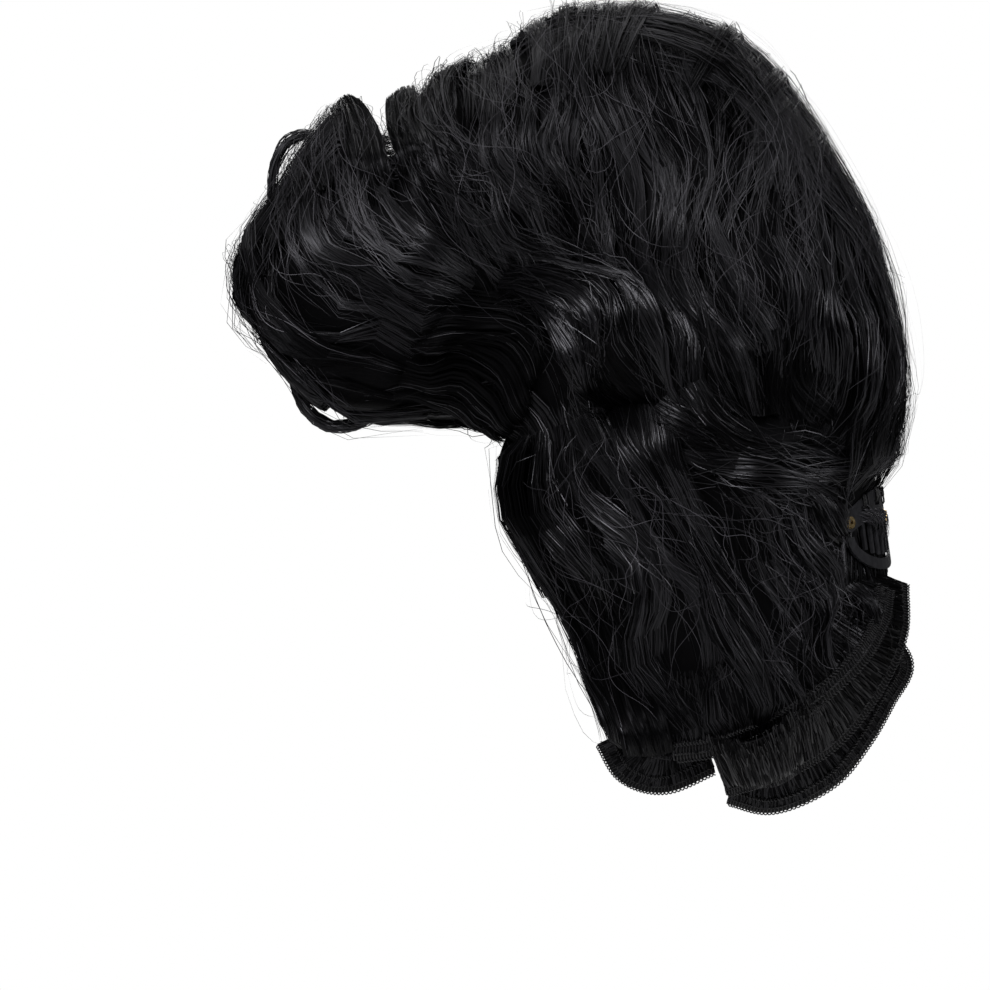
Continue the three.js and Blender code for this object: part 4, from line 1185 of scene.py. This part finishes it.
def stitched_band(name, node, frame_at, dice):
    """One band: its oval seam, the threads that wrap it and the twisted cords along its sides."""
    line = frame_at(np.linspace(0, 1, 60))[0]
    length = np.linalg.norm(np.diff(line, axis=0), axis=-1).sum()
    half, thick = BAND_WIDTH / 2 - THREAD_RADIUS, BAND_THICKNESS / 2 - THREAD_RADIUS

    def oval(share, angle, grow):
        middle, flow, side, up = frame_at(share)
        return (middle + side * (np.cos(angle) * half * grow)[..., None]
                + up * (np.sin(angle) * np.abs(np.sin(angle)) ** -0.3 * thick * grow)[..., None])

    def seam(share, angle, radius):
        return oval(share, angle + CLEAR_OF_ZERO, radius * 0.97)

    body = drawn_tube(name, 16, 80, seam)
    count = int(length / STITCH_PITCH)
    share = (np.arange(count) + 0.5 + dice.normal(0, 0.06, count)) / count
    angle = np.linspace(0, 2 * np.pi, 10, endpoint=False) + 0.01
    lean = WRAP_LEAN * STITCH_PITCH / length
    share_round = share[:, None] + lean * np.cos(angle) + lean * 1.1 * np.sin(angle)
    grow = 1.0 + dice.normal(0, 0.02, (count, 1))
    wraps = oval(share_round, np.broadcast_to(angle, share_round.shape), grow)
    parts = [thread_parts(wraps, THREAD_RADIUS, closed=True)]
    turns = length / (2.1 * STITCH_PITCH)
    share = np.linspace(0.002, 0.998, int(turns * CORD_STEPS_PER_TURN))
    middle, flow, side, up = frame_at(share)
    for edge, size, height in CORDS:
        for start in (0, np.pi):
            twist = 2 * np.pi * turns * share + start
            cord = middle + side * (edge * half + size * np.cos(twist))[:, None]
            cord = cord + up * (height * thick + size * np.sin(twist))[:, None]
            parts.append(thread_parts(cord[None], THREAD_RADIUS * 0.85))
    stitches = mesh_from_parts(name + "_stitches", parts)
    seam_piece = add_object(name + "_seam", body, SEAM)
    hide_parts(node)
    add_object(name + "_stitches", stitches, STITCHING)
    print(name, round(length * 1000), "mm,", count, "wraps, triangles:", 2 * len(stitches.polygons))


# %% Bands and their skirts
SKIRT_LENGTH = 0.015
PACKED_SKIRT_THICKNESS = 0.003
BAND_STANDOUT = 0.0009
SKIRT_DIPS = {"weft_band_front": 0.004, "weft_band_second": -0.0042, "weft_band_bottom": 0.001,
              "weft_band_left": 0.001}
SKIRT_STEPS = 9
# Share of a skirt's wisps drawn in the deep copy, as painted shade.
SHADE_SHARE_OF_SKIRT = 0.45
SKIRT_HUMPS = {"weft_band_second": (0.84, 0.11, 0.0042)}


def hump(name, share, away):
    """How far a skirt rises over the clip that it hides."""
    middle, reach, height = SKIRT_HUMPS.get(name, (0, 1, 0))
    return height * np.exp(-(((share - middle) / reach) ** 4)) * np.clip(away / 0.0012, 0, 1)


def packed_skirt(name, band, frame_at, dip):
    """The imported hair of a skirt: a flat tube behind the band's face that dips towards the bundle."""
    def shape(share, angle, radius):
        middle, flow, side, up = frame_at(0.005 + 0.99 * share)
        away = SKIRT_LENGTH * (0.5 - 0.5 * np.cos(angle) * radius) - 0.0012
        thick = PACKED_SKIRT_THICKNESS / 2 * np.sin(angle) * radius
        sunk = BAND_STANDOUT + dip * np.clip(away / SKIRT_LENGTH, 0, 1)
        sunk = sunk - hump(band, share, away)
        return middle - side * away[..., None] + up * (thick - sunk)[..., None]

    mesh = drawn_tube(name, 20, 60, shape)
    draw_streaks(mesh)
    # The skirt's core is drawn in the packed copy: painted shade under its strands.
    return add_object(name, mesh, PACKED_SHADE_HAIR)


def skirt(name, band, frame_at, dip, seed, wisps, strands, above=0.3):
    """Flat hair that leaves a band on its inner side and dips under the hair above it."""
    dice = np.random.default_rng(seed)
    parts, shade = [], []
    for count, widths, lift in ((wisps, WISP_WIDTHS, 0.0), (strands, STRAND_WIDTHS, 0.00025)):
        share = dice.random((count, 1))
        down = np.linspace(0, 1, SKIRT_STEPS)[None]
        away = -0.0004 + SKIRT_LENGTH * dice.uniform(0.75, 1.1, (count, 1)) * down
        lean = dice.normal(0, 0.007, (count, 1)) * down + 0.03 * np.sin(7 * share + seed) * down
        middle, flow, side, up = frame_at(np.clip(share + lean, 0, 1))
        height = BAND_THICKNESS * above * (1 - down) + lift - (dip - 0.0006) * down
        height = height + dice.uniform(-0.0003, 0.0003, (count, 1))
        height = height + wobble(dice, count, down, 1.2, 0.00025)
        height = height + hump(band, share, away)
        sway = wobble(dice, count, down, 1.1, 0.0003) * down
        paths = middle - side * away[..., None] + up * height[..., None] + flow * sway[..., None]
        width = dice.uniform(*widths, (count, 1)) * (1 - 0.6 * down)
        parts.append(ribbon_parts(paths, twisted(dice, paths, up, 0.2), width))
        # Painted shade: a random share of the wisps is drawn in the deep copy.
        shade.append(np.repeat(dice.random(count) < SHADE_SHARE_OF_SKIRT, SKIRT_STEPS - 1))
    return add_hair(name, parts, SHADED_HAIR, np.concatenate(shade))


band_dice = np.random.default_rng(71)
for number, name in enumerate(BANDS):
    frame_at, dip = weft_frame(name), SKIRT_DIPS[name]
    stitched_band(name, name, frame_at, band_dice)
    packed_skirt(name + "_packed_skirt", name, frame_at, dip)
    skirt(name + "_skirt", name, frame_at, dip, 81 + number, 480, 140)
    skirt(name + "_skirt_back", "none", frame_at, dip, 91 + number, 240, 40, above=-1.6)
stitched_band("clip_band", "clip_band", clip_band_frame, band_dice)

# %% Threads through the slots and curls in the comb
SLOTS = [(0.007, 0.0022, 0.0047), (0.014, 0.00305, 0.0057), (0.021, 0.0022, 0.0047)]
THREADS_PER_SLOT = 6
SLOT_STITCH_WIDTH = 0.0026
THREAD_STANDOUT = 0.00085
KNOT_PLACE, KNOT_REACH, KNOT_TURNS = (0.0262, 0.0006, 0.0048), 0.0009, 14


def clip_threads(name, dice):
    """Threads from the plate's slots over its edge to the band, and the knot that ends them."""
    parts = []
    share = np.linspace(0, 1, 12)
    for x, middle, top in SLOTS:
        for k in range(THREADS_PER_SLOT):
            place = (k + 0.5) / THREADS_PER_SLOT - 0.5
            across = x + SLOT_STITCH_WIDTH * place + dice.normal(0, 0.00012)
            lean = dice.normal(0.0002, 0.00025)
            line = through([(across, -0.0002, middle),
                            (across + 0.3 * lean, THREAD_STANDOUT, middle + 0.0005),
                            (across + 0.6 * lean, THREAD_STANDOUT, top - 0.0003),
                            (across + lean, 0.0006, top + 0.0004),
                            (across + 1.3 * lean, -0.0006, top + 0.0013)], share)
            parts.append(thread_parts(on_clip(*line.T)[None], THREAD_RADIUS * 0.9))
    angle = np.linspace(0, 2 * np.pi, 12, endpoint=False)
    for k in range(KNOT_TURNS):
        tilt, reach = dice.uniform(0, np.pi), KNOT_REACH * dice.uniform(0.5, 1.0)
        ring = [KNOT_PLACE[0] + reach * 1.3 * np.cos(angle) * math.cos(tilt),
                KNOT_PLACE[1] + reach * 0.7 * np.sin(angle + tilt),
                KNOT_PLACE[2] + reach * np.sin(angle) + reach * np.cos(angle) * math.sin(tilt) * 0.6]
        parts.append(thread_parts(on_clip(*ring)[None], THREAD_RADIUS, closed=True))
    add_object(name, mesh_from_parts(name, parts), STITCHING)


CURL_WIDTHS = (0.00012, 0.0002)


def clip_curls(name, dice, strands):
    """Fine strands that the comb holds: they curl over its teeth and never cross the bow."""
    along = np.linspace(0, 1, LOCK_STEPS)
    start = dice.uniform(0.0035, 0.015, (strands, 1))
    reach = dice.uniform(0.003, 0.008, (strands, 1))
    x = start + reach * np.sin(along * np.pi * 0.5) + wobble(dice, strands, along, 0.7, 0.0007)
    drop = dice.uniform(0.003, 0.0072, (strands, 1)) * np.sin(np.pi * (start + 0.5 * reach) / CLIP_SPAN)
    up = 0.0012 + dice.normal(0, 0.0006, (strands, 1)) - drop * along ** 1.4
    up = up + wobble(dice, strands, along, 0.7, 0.0005)
    out = -0.0008 + 0.0022 * np.sin(np.pi * along) ** 0.5
    paths = on_clip(x, out, up)
    facing = unit(on_clip(x, out + 0.001, up) - paths)
    add_hair(name, [ribbons(dice, paths, facing, 0.3, CURL_WIDTHS)], LOOSE_HAIR)


clip_threads("clip_sewing_threads", band_dice)
clip_curls("clip_curls", np.random.default_rng(72), 90)

# %% [markdown]
# ## Clip finish
#
# The clip is stamped from thin steel and painted a satin dark grey, with two brass eyelets. These pieces
# keep their solids from the frame: they get a small bevel, so that their edges catch the light, and paint
# that is a little worn and mottled.

# %% Paint and brass
def metal_finish(name, low, high, metallic, roughness, grain):
    """Paint or bare metal, a little mottled and unevenly dull."""
    material, nodes, links, shader, mottle = noisy_finish(
        name, grain, 4, (0.3, 0.75), low, high, 0.25, 0.00003)
    shader.inputs["Metallic"].default_value = metallic
    links.new(nodes.new("ShaderNodeTexCoord").outputs["Object"], mottle.inputs["Vector"])
    rough = mapped(nodes, links, mottle.outputs["Fac"], roughness - 0.06, roughness + 0.1)
    links.new(rough.outputs["Result"], shader.inputs["Roughness"])
    return material


CLIP_PAINT = metal_finish("satin_clip_paint", (0.010, 0.010, 0.012, 1), (0.022, 0.022, 0.026, 1),
                          0.35, 0.42, 900)
BRASS = metal_finish("eyelet_brass", (0.62, 0.42, 0.16, 1), (0.95, 0.74, 0.40, 1), 1.0, 0.24, 1500)

METAL_NODES = {
    "clip_plate": CLIP_PAINT, "snap_bow": CLIP_PAINT, "inner_clip_left": CLIP_PAINT,
    "inner_clip_bottom": CLIP_PAINT, "rivet_near": BRASS, "rivet_far": BRASS,
}
EDGE_BEVEL = 0.00012
EDGE_ANGLE = math.radians(40)

for name, finish in METAL_NODES.items():
    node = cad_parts[name]
    node.data.materials.clear()
    node.data.materials.append(finish)
    soften = node.modifiers.new("soften", "BEVEL")
    soften.width, soften.segments, soften.limit_method = EDGE_BEVEL, 2, "ANGLE"
    soften.angle_limit = EDGE_ANGLE
print("metal finished on:", list(METAL_NODES))

# %% [markdown]
# ## Flyaways
#
# No wavy hair ends in a clean line. Single strands lift off the surface in long curls, most of them along
# the outline.

# %% Flyaways
FLYAWAY_WIDTHS = (0.00007, 0.00012)
FLYAWAY_STEPS = 22


def flyaways(name, field, seed, strands, high, swing):
    """Single strands that rise and sway over a field, each along a part of its length."""
    dice = np.random.default_rng(seed)
    along = np.linspace(0, 1, FLYAWAY_STEPS)
    start = dice.uniform(0, 0.6, (strands, 1))
    stretch = start + dice.uniform(0.2, 0.4, (strands, 1)) * along
    across = dice.random((strands, 1)) + wobble(dice, strands, along, 0.5, 0.05)
    whole = np.linspace(0, 1, len(GUIDE_STEPS) * 4)
    places = np.empty((strands, FLYAWAY_STEPS, 2))
    for k in range(strands):
        line = lay(field, np.interp(whole, stretch[k], across[k])[None], whole)[0]
        places[k] = np.stack([np.interp(stretch[k], whole, column) for column in line.T], -1)
    lift = 0.0022 + dice.random((strands, 1)) ** 2 * high * np.sin(np.pi * along) ** 0.8
    point, facing = on_bundle(places[..., 0], places[..., 1], lift)
    side = unit(np.cross(unit(np.gradient(point, axis=1)), facing))
    sway = wobble(dice, strands, along, 0.8, swing) + wobble(dice, strands, along, 1.7, swing * 0.4)
    point = behind_clip(point + side * sway[..., None])
    widths = tapered(point, dice, *FLYAWAY_WIDTHS)
    return add_hair(name, [ribbon_parts(point, facing, widths)], LOOSE_HAIR)


flyaways("flyaways_outline", round_edge((12.4, 4.5), 0, 0.6), 101, 200, 0.004, 0.002)
flyaways("flyaways_body", FIELDS["body"], 102, 260, 0.003, 0.003)
flyaways("flyaways_lobe", FIELDS["lobe"], 103, 160, 0.004, 0.002)
flyaways("flyaways_lower", FIELDS["lower"], 104, 120, 0.003, 0.003)
